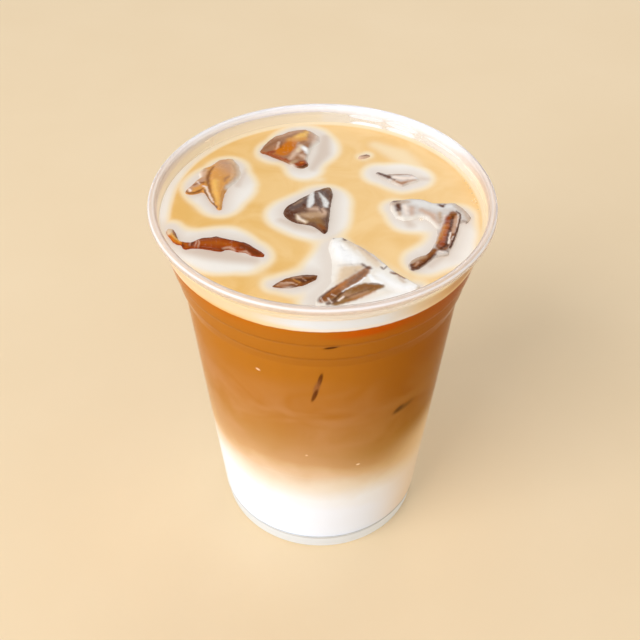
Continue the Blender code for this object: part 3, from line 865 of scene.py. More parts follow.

# What lies on and just under the ice, from the bottom mark to the top one, with painted highlights (the
# glint marks),
# painted reflections (the pale grey streaks on ice_5) and painted shade (the dark marks):
# (paint, how much it covers, how soft its edge is, then its line's points as (x, y, half width))
ICE_MARKS = {
    "ice_1": [
        ("gold", 0.9, 1, (-31.4, 13.4, 0.9), (-30.9, 8, 0.7), (-29.8, 2.6, 0.4)),
        ("clay", 0.95, 3.2, (-31.2, 24, 1.6), (-29, 22.6, 2.4), (-27.6, 18.6, 1.2)),
        ("tan", 0.9, 2.2, (-27, 24.4, 0.6), (-24.6, 21, 1.4), (-24, 17, 1.4), (-25.8, 13, 0.8)),
        ("mauve", 0.9, 0.6, (-29.4, 25.7, 0.2), (-27.6, 25.7, 0.35), (-26.2, 24.6, 0.3),
         (-25.4, 23.2, 0.1)),
        ("mauve", 0.85, 0.7, (-28.6, 13.4, 0.3), (-28.4, 14.8, 0.6), (-27.4, 16, 0.2)),
        ("clay", 0.9, 0.4, (-25.8, 15.4, 0.2), (-25.8, 13.8, 0.3), (-26.6, 12.8, 0.25),
         (-27.4, 11.8, 0.25)),
        ("rose", 0.95, 1.2, (-36.2, 20.2, 0.8), (-35.4, 18.6, 1.2), (-35.2, 16, 0.8)),
        ("beige", 0.85, 0.7, (-35.6, 20.6, 0.4), (-35, 18.8, 0.4)),
        ("brown", 0.95, 0.6, (-32.4, 21, 0.15), (-33.4, 18.4, 0.45), (-33.8, 14.8, 0.6),
         (-33.2, 11.6, 0.45), (-32.2, 7.6, 0.25), (-30.8, 3.6, 0.15)),
        ("clay", 0.95, 0.8, (-35.2, 14.2, 1), (-37.2, 11.6, 1.2), (-39.2, 8.4, 0.6)),
        ("brown", 0.95, 0.5, (-34.8, 12.6, 0.5), (-36, 12.6, 0.3), (-37.6, 11.6, 0.3)),
        ("brown", 0.95, 0.4, (-34.8, 9.6, 0.3), (-36.6, 8, 0.35), (-38.6, 7.6, 0.35),
         (-39.6, 8.6, 0.3)),
        ("honey", 0.95, 0.5, (-37.2, 10, 0.5), (-36, 9.8, 0.5)),
        ("ochre", 0.8, 0.3, (-35, 10.6, 0.25), (-34.6, 12.2, 0.25)),
        ("glint", 0.95, 0.3, (-38.8, 9.6, 0.3), (-38.2, 8.6, 0.35)),
        ("glint", 0.9, 0.3, (-36.8, 13.4, 0.15), (-35.8, 12, 0.15)),
        ("glint", 0.95, 0.3, (-34.8, 11, 0.25), (-33.8, 10.6, 0.3), (-33.2, 8.2, 0.25),
         (-31.6, 4.4, 0.2)),
        ("smoke", 0.9, 0.3, (-34.2, 9.2, 0.25), (-33.6, 7.2, 0.3), (-32, 4.2, 0.3), (-30, 0.8, 0.3)),
        ("glint", 0.85, 0.2, (-32.6, 5.8, 0.12), (-31.2, 3.2, 0.15)),
    ],
    "ice_2": [
        ("clay", 0.8, 1, (-14.8, 36.8, 0.5), (-10, 39.6, 0.9), (-6, 41.8, 0.8)),
        ("brown", 0.6, 0.8, (-18.4, 30.2, 0.3), (-16, 33, 0.5), (-13.6, 35.4, 0.4)),
        ("ochre", 1, 1, (-14, 28.4, 0.8), (-12.4, 29.4, 2.4), (-10.6, 31.6, 2.2), (-9.4, 34.6, 1.6)),
        ("honey", 0.95, 1.1, (-10.4, 35.6, 0.8), (-7.8, 36.4, 1.6), (-6, 36.4, 1.2)),
        ("gold", 0.95, 1, (-8, 37.4, 0.8), (-6.2, 38.6, 1.4), (-5, 40.2, 0.8)),
        ("rose", 0.95, 1.6, (-3.8, 42, 0.8), (-2.4, 38.6, 1.2), (-3, 35.2, 1)),
        ("clay", 0.8, 0.8, (-3.8, 40.6, 0.4), (-3.4, 37.6, 0.5)),
        ("rust", 0.95, 0.7, (-18.2, 29, 0.25), (-15.8, 27.8, 0.5), (-12.6, 25.8, 0.5),
         (-10.2, 24.6, 0.4)),
        ("rust", 0.95, 0.5, (-16.6, 28.8, 0.5), (-15.2, 29.2, 0.7)),
        ("rose", 0.9, 0.35, (-13.5, 34.2, 0.35), (-13.9, 31.8, 0.35), (-14.2, 30.6, 0.2)),
        ("brown", 0.85, 0.35, (-12.7, 34.2, 0.2), (-12.9, 31.4, 0.3)),
        ("rose", 0.95, 0.8, (-9.8, 25.6, 0.6), (-8.6, 28.2, 0.9), (-7.2, 31.2, 0.9), (-7.4, 33.6, 0.4)),
        ("tan", 0.9, 0.6, (-7.6, 29.6, 0.6), (-6.6, 32.6, 0.4)),
        ("mauve", 0.85, 0.5, (-7.6, 33.4, 0.25), (-6, 34.6, 0.5), (-4.6, 33.4, 0.4)),
        ("milk", 1, 0.6, (-6, 31.6, 0.7), (-5, 30.2, 0.9), (-4.8, 29, 0.6)),
        ("rose", 0.95, 0.8, (-6.8, 27.4, 0.6), (-5.2, 26.2, 0.8)),
        ("beige", 0.9, 0.6, (-9.4, 23.6, 0.5), (-8.2, 24.4, 0.6)),
        ("rust", 1, 0.5, (-7.6, 22.6, 0.9), (-6.2, 23.2, 1.3), (-5.4, 24.2, 0.6)),
        ("dark", 0.9, 0.35, (-7.6, 21.6, 0.2), (-6, 21.6, 0.4), (-5, 22.8, 0.4)),
        ("ochre", 0.8, 0.3, (-6.6, 23.6, 0.3), (-6, 23.8, 0.3)),
    ],
    "ice_3": [
        ("umber", 0.9, 0.5, (11.4, 27.5, 0.1), (12.7, 27.8, 0.3), (13.8, 28.1, 0.1)),
    ],
    "ice_4": [
        ("milk", 0.8, 1.2, (24, 18.6, 0.6), (28.6, 16.4, 0.8)),
        ("clay", 0.95, 0.9, (20.8, 14.8, 0.4), (23, 13.6, 0.8), (25, 14.6, 0.6), (27.6, 15.4, 0.2)),
        ("mauve", 0.8, 0.5, (21.8, 14.2, 0.3), (23.2, 13.4, 0.4), (24.6, 14.4, 0.2)),
        ("glint", 1, 0.6, (21, 16.6, 0.5), (23.4, 16, 0.7), (26.6, 16.4, 0.4)),
        ("mauve", 0.9, 0.6, (19.6, 17.8, 0.25), (22, 17.8, 0.35), (24.8, 18, 0.35), (27.4, 17.2, 0.15)),
        ("dark", 0.95, 0.5, (15.9, 19.2, 0.4), (17.6, 17.8, 0.5), (19.4, 16.6, 0.7)),
        ("umber", 0.8, 0.4, (19.6, 16.4, 0.4), (21, 15.2, 0.3)),
    ],
    "ice_5": [
        ("smoke", 0.95, 0.7, (-8.6, 1, 1.2), (-5.6, 4, 1.8), (-4.4, 6.6, 0.8)),
        ("beige", 0.5, 0.7, (-8, 2.4, 0.3), (-6, 4.4, 0.4)),
        ("dark", 0.85, 0.9, (-9.8, -0.8, 0.8), (-8.6, -2, 1.2), (-7, -1.6, 0.8)),
        ("beige", 0.95, 1.2, (-5.6, -2.4, 0.8), (-3.2, -2.8, 1.8), (-0.6, -2.2, 1.5)),
        ("rose", 0.9, 1.1, (-3.4, 0.4, 0.6), (-0.6, 0.4, 1), (0.6, -1.4, 0.8)),
        ("olive", 0.9, 1, (-4.4, -4.6, 0.7), (-1.6, -4.6, 1.2), (-0.4, -6.6, 0.9)),
        ("brown", 0.95, 0.7, (-0.8, -7, 0.6), (0.4, -8.4, 0.8)),
        ("dark", 0.85, 0.35, (-10.4, 0.6, 0.3), (-7.8, 3.6, 0.25), (-5.4, 6.2, 0.2)),
        ("dark", 0.9, 0.6, (-10.2, -2.2, 0.4), (-8.6, -4.4, 0.3), (-7.4, -5, 0.3)),
        ("dark", 0.8, 0.4, (-5.5, 2.6, 0.35), (-5, 2, 0.4)),
        ("tan", 0.95, 0.6, (-7.2, -2.4, 0.3), (-6.6, -4.2, 0.7), (-4.6, -5.6, 0.5)),
        ("glint", 0.9, 0.35, (-7, -2.8, 0.15), (-6.4, -4.2, 0.35), (-5, -5.4, 0.2)),
        ("steel", 1, 0.5, (-3.2, 8.4, 0.7), (-3.1, 5.6, 1), (-3.4, 3, 0.9), (-3.8, 1.4, 0.5)),
        ("steel", 1, 0.45, (-0.8, 8.4, 0.35), (0, 6, 0.6), (0.9, 3.6, 0.9), (1, 1.8, 0.7)),
        ("smoke", 1, 0.35, (-2, 7.8, 0.4), (-1.8, 5.4, 0.65), (-1, 2.6, 0.55), (-0.4, 1, 0.35)),
        ("umber", 0.8, 0.4, (-1, 1, 0.3), (-0.4, -0.6, 0.35), (0, -1.4, 0.2)),
        ("olive", 0.9, 0.6, (-0.8, 10.2, 0.4), (1.2, 11, 0.6), (2.4, 9.6, 0.4)),
        ("smoke", 1, 0.4, (-0.6, 9, 0.6), (0.6, 7.8, 1), (1.6, 6.4, 0.5)),
        ("umber", 0.95, 0.4, (1.4, 9.4, 0.6), (2.3, 7.6, 0.5), (2.2, 5.8, 0.3)),
        ("umber", 0.9, 0.3, (2.3, 5, 0.2), (2, 1.4, 0.2), (1.5, -3, 0.2), (1.2, -8, 0.3)),
        ("dark", 0.9, 0.3, (0.3, -9.2, 0.3), (0.7, -10.2, 0.4)),
    ],
    "ice_6": [
        ("steel", 0.9, 1.2, (24.6, 4.4, 0.8), (28.6, 3.4, 1.4), (32.6, 1.6, 1), (36.6, 2.2, 0.7)),
        ("foam", 1, 1.6, (22, -3.4, 0.6), (26, -3.2, 1), (28.6, -3.4, 0.6)),
        ("beige", 0.7, 1, (19.8, 3, 0.6), (21.4, 4, 0.9), (24.4, 4.2, 0.6)),
        ("clay", 0.65, 1, (25.2, 1.4, 0.7), (25.2, -2, 0.6)),
        ("glint", 0.9, 0.8, (23.4, 2.2, 0.5), (23.6, -1.4, 0.5)),
        ("clay", 0.75, 1.1, (28, 0.4, 0.6), (30.8, -2, 0.9), (31.8, -6.4, 0.6)),
        ("beige", 0.8, 0.7, (33, -1, 0.6), (33, -5, 0.6)),
        ("ash", 0.9, 0.5, (34.4, 0.8, 0.5), (34, -2.2, 0.3)),
        ("glint", 0.85, 0.35, (34.4, -2, 0.2), (33.7, -5, 0.2), (32.8, -8, 0.2)),
        ("dark", 0.85, 0.5, (19.6, 4.8, 0.3), (20.6, 4.4, 0.35), (22.2, 5, 0.15)),
        ("umber", 0.95, 0.6, (21.5, 2.8, 0.8), (21.5, 0.4, 0.8)),
        ("dark", 0.9, 0.5, (21.3, 2.6, 0.4), (21.7, 0.8, 0.4)),
        ("beige", 0.8, 0.7, (21.6, -0.8, 0.5), (21.8, -2, 0.4)),
        ("umber", 0.95, 0.5, (33, 2.9, 0.4), (34, 2.4, 0.7), (34.8, 3.2, 0.2)),
        ("dark", 0.95, 0.35, (33.4, 2.7, 0.35), (34, 2.1, 0.45)),
        ("umber", 0.8, 0.25, (25.8, 6.1, 0.1), (28.4, 5.5, 0.15), (31.4, 4.1, 0.15), (33.4, 3.8, 0.15),
         (38, 4.1, 0.15), (40, 1.6, 0.2), (41.4, -1, 0.2), (41.6, -3, 0.15)),
        ("umber", 0.7, 0.5, (40.6, -5, 0.3), (39.4, -4.2, 0.3)),
        ("beige", 0.7, 0.9, (38.4, 3, 0.4), (40.2, 0.2, 0.6), (40.6, -3, 0.4)),
        ("brown", 1, 0.5, (36.8, -1.2, 1.2), (35.8, -6, 1.7), (34.2, -11.6, 1.9), (32.6, -16, 1.8)),
        ("rust", 0.95, 0.9, (35.2, -3, 0.7), (34, -9, 1.1), (32.6, -15, 1.1)),
        ("ochre", 0.55, 0.8, (34.8, -6, 0.4), (33.6, -10, 0.6), (32.6, -13, 0.4)),
        ("honey", 0.6, 0.5, (34, -6.4, 0.3), (32.6, -11, 0.35), (31.2, -14.6, 0.2)),
        ("dark", 0.95, 0.4, (36.6, -2.4, 0.35), (35.6, -7.4, 0.4), (34.4, -11.8, 0.45),
         (33.8, -15.6, 0.5), (32, -17, 0.3)),
        ("clay", 0.95, 0.35, (37.8, -2.4, 0.5), (37, -6.4, 0.65), (36, -9.8, 0.4)),
        ("brown", 0.9, 0.4, (36.2, -10.4, 0.4), (35.4, -13.6, 0.4)),
        ("dark", 1, 0.25, (37.8, 0, 0.25), (38.8, -1.6, 0.25), (38.4, -4.4, 0.25), (37.3, -8.8, 0.35),
         (35.9, -13, 0.35), (34.8, -16.4, 0.35)),
        ("glint", 0.9, 0.25, (38.2, -1.6, 0.12), (38, -3.8, 0.14), (37.3, -6.8, 0.1)),
        ("glint", 1, 0.25, (35.4, -9.8, 0.25), (34.9, -12, 0.2), (34.5, -14.4, 0.35)),
        ("glint", 0.9, 0.2, (36, -11.4, 0.12), (35.6, -12.8, 0.12)),
        ("ash", 1, 0.5, (31.2, -18.8, 0.8), (33.4, -19, 1)),
        ("umber", 0.85, 0.35, (31.4, -17.6, 0.2), (32.6, -17.2, 0.25), (33.9, -17.9, 0.3)),
        ("glint", 0.9, 0.3, (31.6, -18, 0.25), (32.6, -18.4, 0.25)),
        ("umber", 0.7, 0.25, (31, -19.8, 0.1), (32.4, -20, 0.15), (33.8, -19.6, 0.1)),
        ("brown", 1, 0.6, (30.4, -17.6, 0.9), (27.6, -21.4, 1.3), (25, -24.2, 1.5)),
        ("beige", 0.9, 0.8, (27.6, -20.4, 0.5), (25.6, -21.4, 0.6), (24, -22.6, 0.5)),
        ("dark", 0.95, 0.5, (30.4, -19.4, 0.35), (27.4, -23, 0.4), (25.2, -25.2, 0.5)),
        ("dark", 0.9, 0.4, (23.8, -23.8, 0.4), (24.2, -25.6, 0.6)),
        ("clay", 0.8, 0.35, (25.6, -22.8, 0.3), (25, -24.2, 0.25)),
    ],
    "ice_7": [
        ("ochre", 0.35, 1.2, (-33, -15.4, 0.4), (-28.4, -15.4, 1), (-24, -16.4, 0.4)),
        ("dark", 0.7, 0.9, (-22, -16.4, 0.6), (-17.6, -19.6, 1)),
        ("dark", 0.75, 0.5, (-34, -13.8, 0.2), (-30.4, -12.9, 0.35), (-28, -12.9, 0.4),
         (-22, -14.9, 0.35), (-18.4, -17.4, 0.3)),
        ("dark", 0.6, 0.6, (-33.4, -17.2, 0.3), (-28, -18.2, 0.3), (-24, -18, 0.2)),
        ("dark", 0.9, 0.4, (-35.3, -15.2, 0.35), (-35.3, -16.4, 0.35)),
        ("ochre", 0.5, 0.5, (-37, -16, 0.3), (-36.6, -17.2, 0.3)),
        ("rose", 0.9, 0.3, (-34.5, -14.2, 0.1), (-34.2, -15.6, 0.14), (-34.6, -17, 0.1)),
        ("rose", 0.9, 0.3, (-33.8, -14.2, 0.1), (-33.4, -15.8, 0.14), (-33.8, -17.2, 0.1)),
        ("rose", 0.75, 0.3, (-35.9, -14.9, 0.12), (-36, -16.6, 0.1)),
        ("rose", 0.85, 0.5, (-26.6, -17.6, 0.3), (-25.2, -17.2, 0.3), (-23.8, -18.4, 0.3)),
        ("rose", 0.8, 0.5, (-22.4, -19.2, 0.2), (-20.6, -18.8, 0.25), (-19.4, -20.6, 0.2)),
        ("tan", 1, 0.7, (-42.2, -8.8, 1), (-42.2, -11.2, 0.9)),
        ("clay", 0.8, 0.6, (-43, -9.4, 0.2), (-42, -8.4, 0.3), (-41.2, -9.6, 0.2)),
        ("ochre", 0.95, 0.5, (-42, -12.4, 0.35), (-40.8, -14.2, 0.5), (-39.2, -15.4, 0.5),
         (-37.8, -15.6, 0.35)),
        ("gold", 0.9, 0.4, (-41.6, -11.4, 0.3), (-40.4, -13.2, 0.35), (-38.8, -14.8, 0.3)),
        ("brown", 0.9, 0.3, (-41.2, -9.8, 0.2), (-40.6, -11.4, 0.25), (-39.8, -13.4, 0.2)),
        ("dark", 0.9, 0.35, (-37.9, -15.4, 0.2), (-37.8, -17.2, 0.3)),
    ],
    "ice_8": [
        ("umber", 0.85, 0.5, (-9.4, -29.9, 0.2), (-5.4, -29, 0.5), (-1.6, -28.5, 0.3)),
        ("clay", 0.7, 0.5, (-7.6, -29.8, 0.2), (-5.6, -29.4, 0.3)),
        ("dark", 0.9, 0.4, (-6.6, -30.2, 0.3), (-4.8, -31, 0.6), (-2.2, -29.9, 0.4)),
        ("clay", 0.7, 0.7, (-11.4, -32.6, 0.4), (-9, -32.2, 0.6)),
        ("rose", 0.85, 0.25, (-10.8, -31.9, 0.12), (-8, -31.7, 0.18), (-6.4, -32.4, 0.14)),
        ("honey", 0.7, 0.3, (-7.4, -30.4, 0.15), (-5.8, -31.6, 0.25)),
        ("rose", 0.7, 0.25, (-5, -29.9, 0.1), (-4.2, -30.8, 0.1)),
        ("umber", 0.9, 0.35, (-12.9, -33, 0.25), (-11.6, -32.2, 0.25)),
        ("umber", 0.8, 0.3, (-8.4, -32.8, 0.15), (-6.6, -33, 0.2)),
    ],
    "ice_9": [
        ("milk", 1, 1.8, (3.4, -15.8, 1.8), (4.4, -19.6, 3.2), (8.2, -22, 1.8)),
        ("milk", 1, 1.6, (15.4, -28.6, 1), (19, -32.6, 1.4), (24, -34, 2)),
        ("milk", 0.8, 1.4, (20, -36.6, 1.6), (12, -39.8, 1), (6, -41.2, 0.6)),
        ("tan", 0.8, 1.2, (6.4, -14.2, 0.6), (9.6, -17, 1.3), (12.4, -20.4, 1.5), (14.8, -24, 1)),
        ("ash", 0.75, 0.7, (8.4, -14.6, 0.3), (12, -18.2, 0.5), (16.4, -23.4, 0.4)),
        ("foam", 0.8, 0.5, (9.4, -18.2, 0.4), (11.4, -22, 0.3)),
        ("beige", 0.6, 0.6, (10, -16.6, 0.3), (11.6, -18.6, 0.3), (14.6, -22.4, 0.3)),
        ("beige", 0.8, 1, (10.6, -25, 0.5), (8.8, -26.2, 1.2), (6.8, -28.4, 1)),
        ("tan", 0.95, 1.3, (9.6, -25.4, 0.8), (6.6, -26.6, 2), (5.4, -29.2, 1.6), (4.2, -31.6, 0.7)),
        ("ash", 0.7, 0.7, (4.4, -24.6, 0.3), (7.2, -24.2, 0.3), (9.8, -23.9, 0.3)),
        ("mauve", 1, 0.5, (12.4, -25.2, 0.6), (11.2, -27.2, 1.2), (9.2, -29.8, 1.7), (6.4, -32.6, 1.8),
         (3.6, -35.4, 1.9), (0.6, -38, 1.4)),
        ("umber", 0.6, 0.8, (11.4, -27, 0.4), (9, -30.2, 0.7), (7, -32.2, 0.5)),
        ("dark", 0.9, 0.5, (10.6, -23.8, 0.3), (11.8, -25.2, 0.5), (13, -25.8, 0.3)),
        ("ochre", 0.5, 0.9, (6.2, -31.4, 0.3), (3.6, -34.2, 0.7), (1, -36.8, 0.7)),
        ("brown", 1, 0.7, (4.4, -34.8, 0.7), (1.8, -37.2, 1), (-0.4, -38.6, 0.9)),
        ("dark", 0.9, 0.45, (4, -32.8, 0.15), (0.2, -36.8, 0.4), (-1, -38.6, 0.45)),
        ("olive", 1, 0.5, (15.4, -32.8, 0.8), (11.4, -33.8, 2.2), (7.6, -36.2, 2.4), (3.6, -39, 1.6)),
        ("brown", 0.75, 0.9, (14.4, -33, 0.5), (11.6, -32.8, 0.8), (8.4, -34, 0.6)),
        ("clay", 0.6, 0.9, (11.6, -35.2, 0.6), (8, -36.8, 0.8), (5.6, -36, 0.5)),
        ("ochre", 0.3, 0.8, (13.6, -35, 0.4), (10.4, -37, 0.5), (7, -38.6, 0.4)),
        ("dark", 0.6, 0.4, (13, -33.6, 0.15), (9.6, -35.4, 0.25), (6, -37.6, 0.2)),
        ("umber", 0.9, 0.4, (3.4, -38.6, 0.8), (1.6, -39.8, 0.6)),
        ("dark", 0.85, 0.35, (6, -34.6, 0.3), (4.6, -36.4, 0.4), (3.4, -38, 0.3)),
        ("umber", 0.8, 0.35, (12.4, -31.8, 0.15), (14.4, -31.7, 0.3), (16, -32.6, 0.2)),
        ("milk", 1, 0.3, (11.2, -29.6, 0.3), (10, -31.2, 0.3), (7.2, -33.4, 0.2), (5.4, -35, 0.12)),
        ("milk", 1, 0.35, (12.6, -28.6, 0.5), (13.4, -30.6, 0.7), (15.6, -31.4, 0.5)),
        ("glint", 0.95, 0.25, (5.6, -37, 0.25), (4.4, -38.6, 0.3)),
        ("glint", 0.9, 0.25, (1.6, -37.6, 0.12), (2.6, -39.4, 0.18)),
        ("glint", 0.85, 0.25, (-0.2, -37.6, 0.14), (0.6, -39.4, 0.12)),
        ("glint", 0.8, 0.25, (2.6, -36.2, 0.1), (3.6, -36.8, 0.14)),
        ("umber", 0.8, 0.4, (2.9, -12.4, 0.3), (3, -13, 0.25)),
        ("dark", 0.9, 0.45, (5.9, -13.1, 0.45), (6.3, -13.7, 0.35)),
        ("dark", 0.9, 0.3, (15.6, -25, 0.2), (16.3, -26, 0.25), (17.2, -24.6, 0.15)),
        ("brown", 0.95, 0.5, (18.2, -27.2, 0.3), (20, -27.9, 0.5), (21.6, -29.4, 0.4)),
        ("umber", 0.8, 0.3, (18.4, -27.6, 0.2), (19.4, -27.8, 0.2)),
        ("beige", 0.7, 0.7, (20, -29, 0.3), (21.4, -31, 0.4)),
    ],
}

# Flat breaks on the tops: (x, y, way down seen from above in degrees, slope in degrees)
ICE_BREAKS = {
    "ice_1": [(-30.5, 15, 180, 6), (-29, 16, 0, 7)],
    "ice_2": [(-11, 33, 130, 7), (-7, 32, 310, 6)],
    "ice_5": [(-3, 1, 200, 7), (-1, 1, 20, 8), (-2, -2, 280, 7)],
    "ice_7": [(-28, -15.4, 90, 12), (-28, -15.8, 270, 12)],
    "ice_9": [(9, -26, 200, 4), (13, -26, 40, 5), (9, -31, 280, 6)],
}
ICE_RISE = 0.3
ICE_GRAIN = 0.3
HOLLOW_GRAIN = 0.7
ICE_MELT = 2.8
ICE_ROUGHNESS = 0.4
ICE_SWELL = 0.15
SLAB_DEPTH = 2.6
SLAB_SHARE = 0.62
FOAM_LAP = 0.7
GROUND_COVER = 0.8
RAGGED = 0.05
# The ice is painted from the first to the second of these depths under the drink's top
PAINT_DEPTHS = (1.6, 0.4)
# Outside its outline the ice sinks over this reach, from further inside at a soft edge
SINK_REACH = (-0.3, 0.7)
SINK_SOFTNESS = 1.6
SHARP_EDGE = 0.5


def break_off(piece, x, y, direction, slope):
    """Cuts a flat break across the top of a piece of ice, falling away in a direction."""
    angle = math.radians(direction)
    tilt = math.radians(slope)
    normal = (math.cos(angle) * math.sin(tilt), math.sin(angle) * math.sin(tilt), math.cos(tilt))
    top = corners(piece)[:, 2].max()
    open_mesh(piece)
    bpy.ops.mesh.bisect(plane_co=(x * MM, y * MM, top * MM), plane_no=normal, use_fill=True,
                        clear_outer=True)
    close_mesh()


def ice_hollow(piece, inset):
    """A copy of a finished piece of ice, a little smaller, that cuts its hollow into the drink."""
    hollow = piece.copy()
    hollow.data = piece.data.copy()
    hollow.name = piece.name + "_hollow"
    bpy.context.scene.collection.objects.link(hollow)
    shape_with(hollow, "REMESH", mode="VOXEL", voxel_size=HOLLOW_GRAIN * MM)
    shape_with(hollow, "DISPLACE", mid_level=0.0, strength=-inset * MM)
    hollow.data.materials.clear()
    hollow.data.materials.append(HOLLOW_FINISH)
    return hollow


def paint_ice(piece, node):
    points = corners(piece)
    near_top = ramp(points[:, 2], *(DRINK_TOP - depth for depth in PAINT_DEPTHS))
    colours = np.tile(np.array(ICE_PAINTS[ICE_GROUND[node]]), (len(points), 1))
    cover = GROUND_COVER * near_top
    points = as_seen(points)
    ragged = points.copy()
    ragged[:, 0] += RAGGED * (np.sin(3.1 * points[:, 1] + 1.3) + np.sin(5.3 * points[:, 0] + 0.4))
    ragged[:, 1] += RAGGED * (np.sin(3.7 * points[:, 0] + 0.7) + np.sin(5.9 * points[:, 1] + 2.1))
    for paint, strength, softness, *line in ICE_MARKS[node]:
        share = ramp(-outside(ragged, line), -softness, softness) * near_top * strength
        colours = colours + (np.array(ICE_PAINTS[paint]) - colours) * share[:, None]
        cover = cover + (1 - cover) * share
    gap, softness = outside_outline(points, ICE_SHOWS[node])
    film = ramp(gap / softness, -1.4, 0.0) * ramp(softness, 0.4, 0.9) * near_top
    colours = colours + (np.array(ICE_PAINTS["foam"]) - colours) * film[:, None]
    note_colour(piece, "frost", colours)
    note(piece, "cover", np.maximum(cover, film))


def as_seen(points):
    """The points moved to where the photograph's camera sees them on the drink's top."""
    seen = points.copy()
    seen[:, 1] += (points[:, 2] - DRINK_TOP) / math.tan(math.radians(CAMERA_ELEVATION))
    return seen


def showing_slab(node, top):
    """A flat slab in the outline in which a piece of ice shows."""
    outline = ICE_SHOWS[node]
    low = DRINK_TOP - SLAB_DEPTH
    put_down()
    bpy.ops.mesh.primitive_circle_add(vertices=len(outline), radius=10 * MM, fill_type="NGON",
                                      location=(0, 0, 0))
    slab = bpy.context.object
    for corner, (x, y, softness) in zip(slab.data.vertices, outline):
        corner.co = (x * MM, y * MM, low * MM)
    open_mesh(slab)
    bpy.ops.mesh.extrude_region_move(TRANSFORM_OT_translate={"value": (0, 0, (top - low) * MM)})
    close_mesh()
    tidy_mesh(slab)
    return slab


def sink_under_foam(piece, node):
    """Lowers the ice under the foam's skin outside its outline."""
    points = corners(piece)
    gap, softness = outside_outline(as_seen(points), ICE_SHOWS[node])
    over = np.maximum(points[:, 2] - (DRINK_TOP - FOAM_LAP), 0)
    start = SINK_REACH[0] - SINK_SOFTNESS * np.maximum(softness - SHARP_EDGE, 0)
    lower(piece, over * ramp(gap, start, SINK_REACH[1]))


def ice_piece(node):
    piece = copy_of(node, node + "_clear")
    bpy.ops.transform.translate(value=(0, 0, ICE_RISE * MM))
    bpy.ops.object.transform_apply(location=True, rotation=False, scale=False)
    crown = corners(piece)[:, 2].max()
    slab = showing_slab(node, DRINK_TOP + SLAB_SHARE * (crown - DRINK_TOP))
    pick_up(piece)
    slab.select_set(True)
    bpy.ops.object.join()
    shape_with(piece, "REMESH", mode="VOXEL", voxel_size=ICE_GRAIN * MM)
    for place in ICE_BREAKS.get(node, []):
        break_off(piece, *place)
    shape_with(piece, "DISPLACE", mid_level=0.0, strength=ICE_SWELL * MM)
    shape_with(piece, "REMESH", mode="VOXEL", voxel_size=ICE_GRAIN * MM)
    sink_under_foam(piece, node)
    shape_with(piece, "SMOOTH", factor=0.5, iterations=5)
    melt = bpy.data.textures.new(node + "_melt", "CLOUDS")
    melt.noise_scale = ICE_MELT * MM
    melt.noise_depth = 2
    shape_with(piece, "DISPLACE", texture=melt, texture_coords="LOCAL", mid_level=0.5,
               strength=ICE_ROUGHNESS * MM)
    tidy_mesh(piece, 0.001)
    pick_up(piece)
    bpy.ops.object.shade_smooth()
    paint_ice(piece, node)
    piece.data.materials.append(ICE_FINISH)
    ICE_PIECES.append(piece)
    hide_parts(node)
    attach(piece, "root")
    return piece


# ---------------------------------------------------------------- the drink

def drink_radius(height):
    """Just into the cup's wall, so that no air shows between the drink and the plastic."""
    return wall_radius(height) - WALL + REACH


def clear_flaps(piece):
    """Deletes the tiny flaps a cut can leave: faces with no edge that joins just two faces."""
    faces_on = {}
    for face in piece.data.polygons:
        for key in face.edge_keys:
            faces_on[key] = faces_on.get(key, 0) + 1
    open_mesh(piece)
    bpy.ops.mesh.select_mode(type="FACE")
    bpy.ops.mesh.select_all(action="DESELECT")
    close_mesh()
    for face in piece.data.polygons:
        face.select = all(faces_on[key] != 2 for key in face.edge_keys)
    bpy.ops.object.mode_set(mode="EDIT")
    bpy.ops.mesh.delete(type="FACE")
    close_mesh()


def cut_hollows(layer, inset):
    """Cuts the hollows of all the ice out of a layer in one go."""
    hollows = [ice_hollow(piece, inset) for piece in ICE_PIECES]
    put_down()
    for hollow in hollows:
        hollow.select_set(True)
    bpy.context.view_layer.objects.active = hollows[0]
    bpy.ops.object.join()
    shape_with(layer, "BOOLEAN", operation="DIFFERENCE", solver="EXACT", object=hollows[0],
               material_mode="TRANSFER")
    bpy.data.objects.remove(hollows[0], do_unlink=True)
    tidy_mesh(layer, CUT_MERGE)
    open_mesh(layer)
    bpy.ops.mesh.quads_convert_to_tris(quad_method="BEAUTY", ngon_method="BEAUTY")
    bpy.ops.mesh.dissolve_degenerate(threshold=SLIVER * MM)
    close_mesh()
    clear_flaps(layer)


def milk_layer():
    corner = wall_radius(FLOOR_TOP + FLOOR_CORNER) - WALL - FLOOR_CORNER
    middle = (corner, FLOOR_TOP + FLOOR_CORNER)
    stations = [(HUB, FLOOR_TOP - REACH), (corner - 2, FLOOR_TOP - REACH)]
    stations += arc(middle, FLOOR_CORNER + REACH, -90, 0, 7)
    stations += [(drink_radius(z), z) for z in wall_heights(4.0, MILK_TOP + LAYER_LAP)]
    crown = MILK_TOP + MILK_CROWN
    stations += [(drink_radius(MILK_TOP) - FACE_EDGE, crown), (HUB, crown)]
    layer = turned("milk_layer", stations, CUP_SIDES)
    smooth(layer)
    layer.data.materials.append(layered_drink("milk_at_the_bottom"))
    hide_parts("milk")
    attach(layer, "root")
    return layer


def coffee_layer():
    low = MILK_TOP - LAYER_LAP
    high = COFFEE_TOP + COFFEE_LAP
    crown = high + COFFEE_CROWN
    stations = [(HUB, low), (drink_radius(low) - FACE_EDGE, low)]
    stations += [(drink_radius(z) - COFFEE_GAP, z) for z in wall_heights(MILK_TOP, high)]
    stations += [(drink_radius(high) - FACE_EDGE, crown), (HUB, crown)]
    layer = turned("coffee_layer", stations, CUP_SIDES)
    layer.data.materials.append(layered_drink("milky_coffee", SUNK_MARKS))
    cut_hollows(layer, COFFEE_INSET)
    smooth(layer)
    note_light_through_ice(layer)
    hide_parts("coffee")
    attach(layer, "root")
    return layer


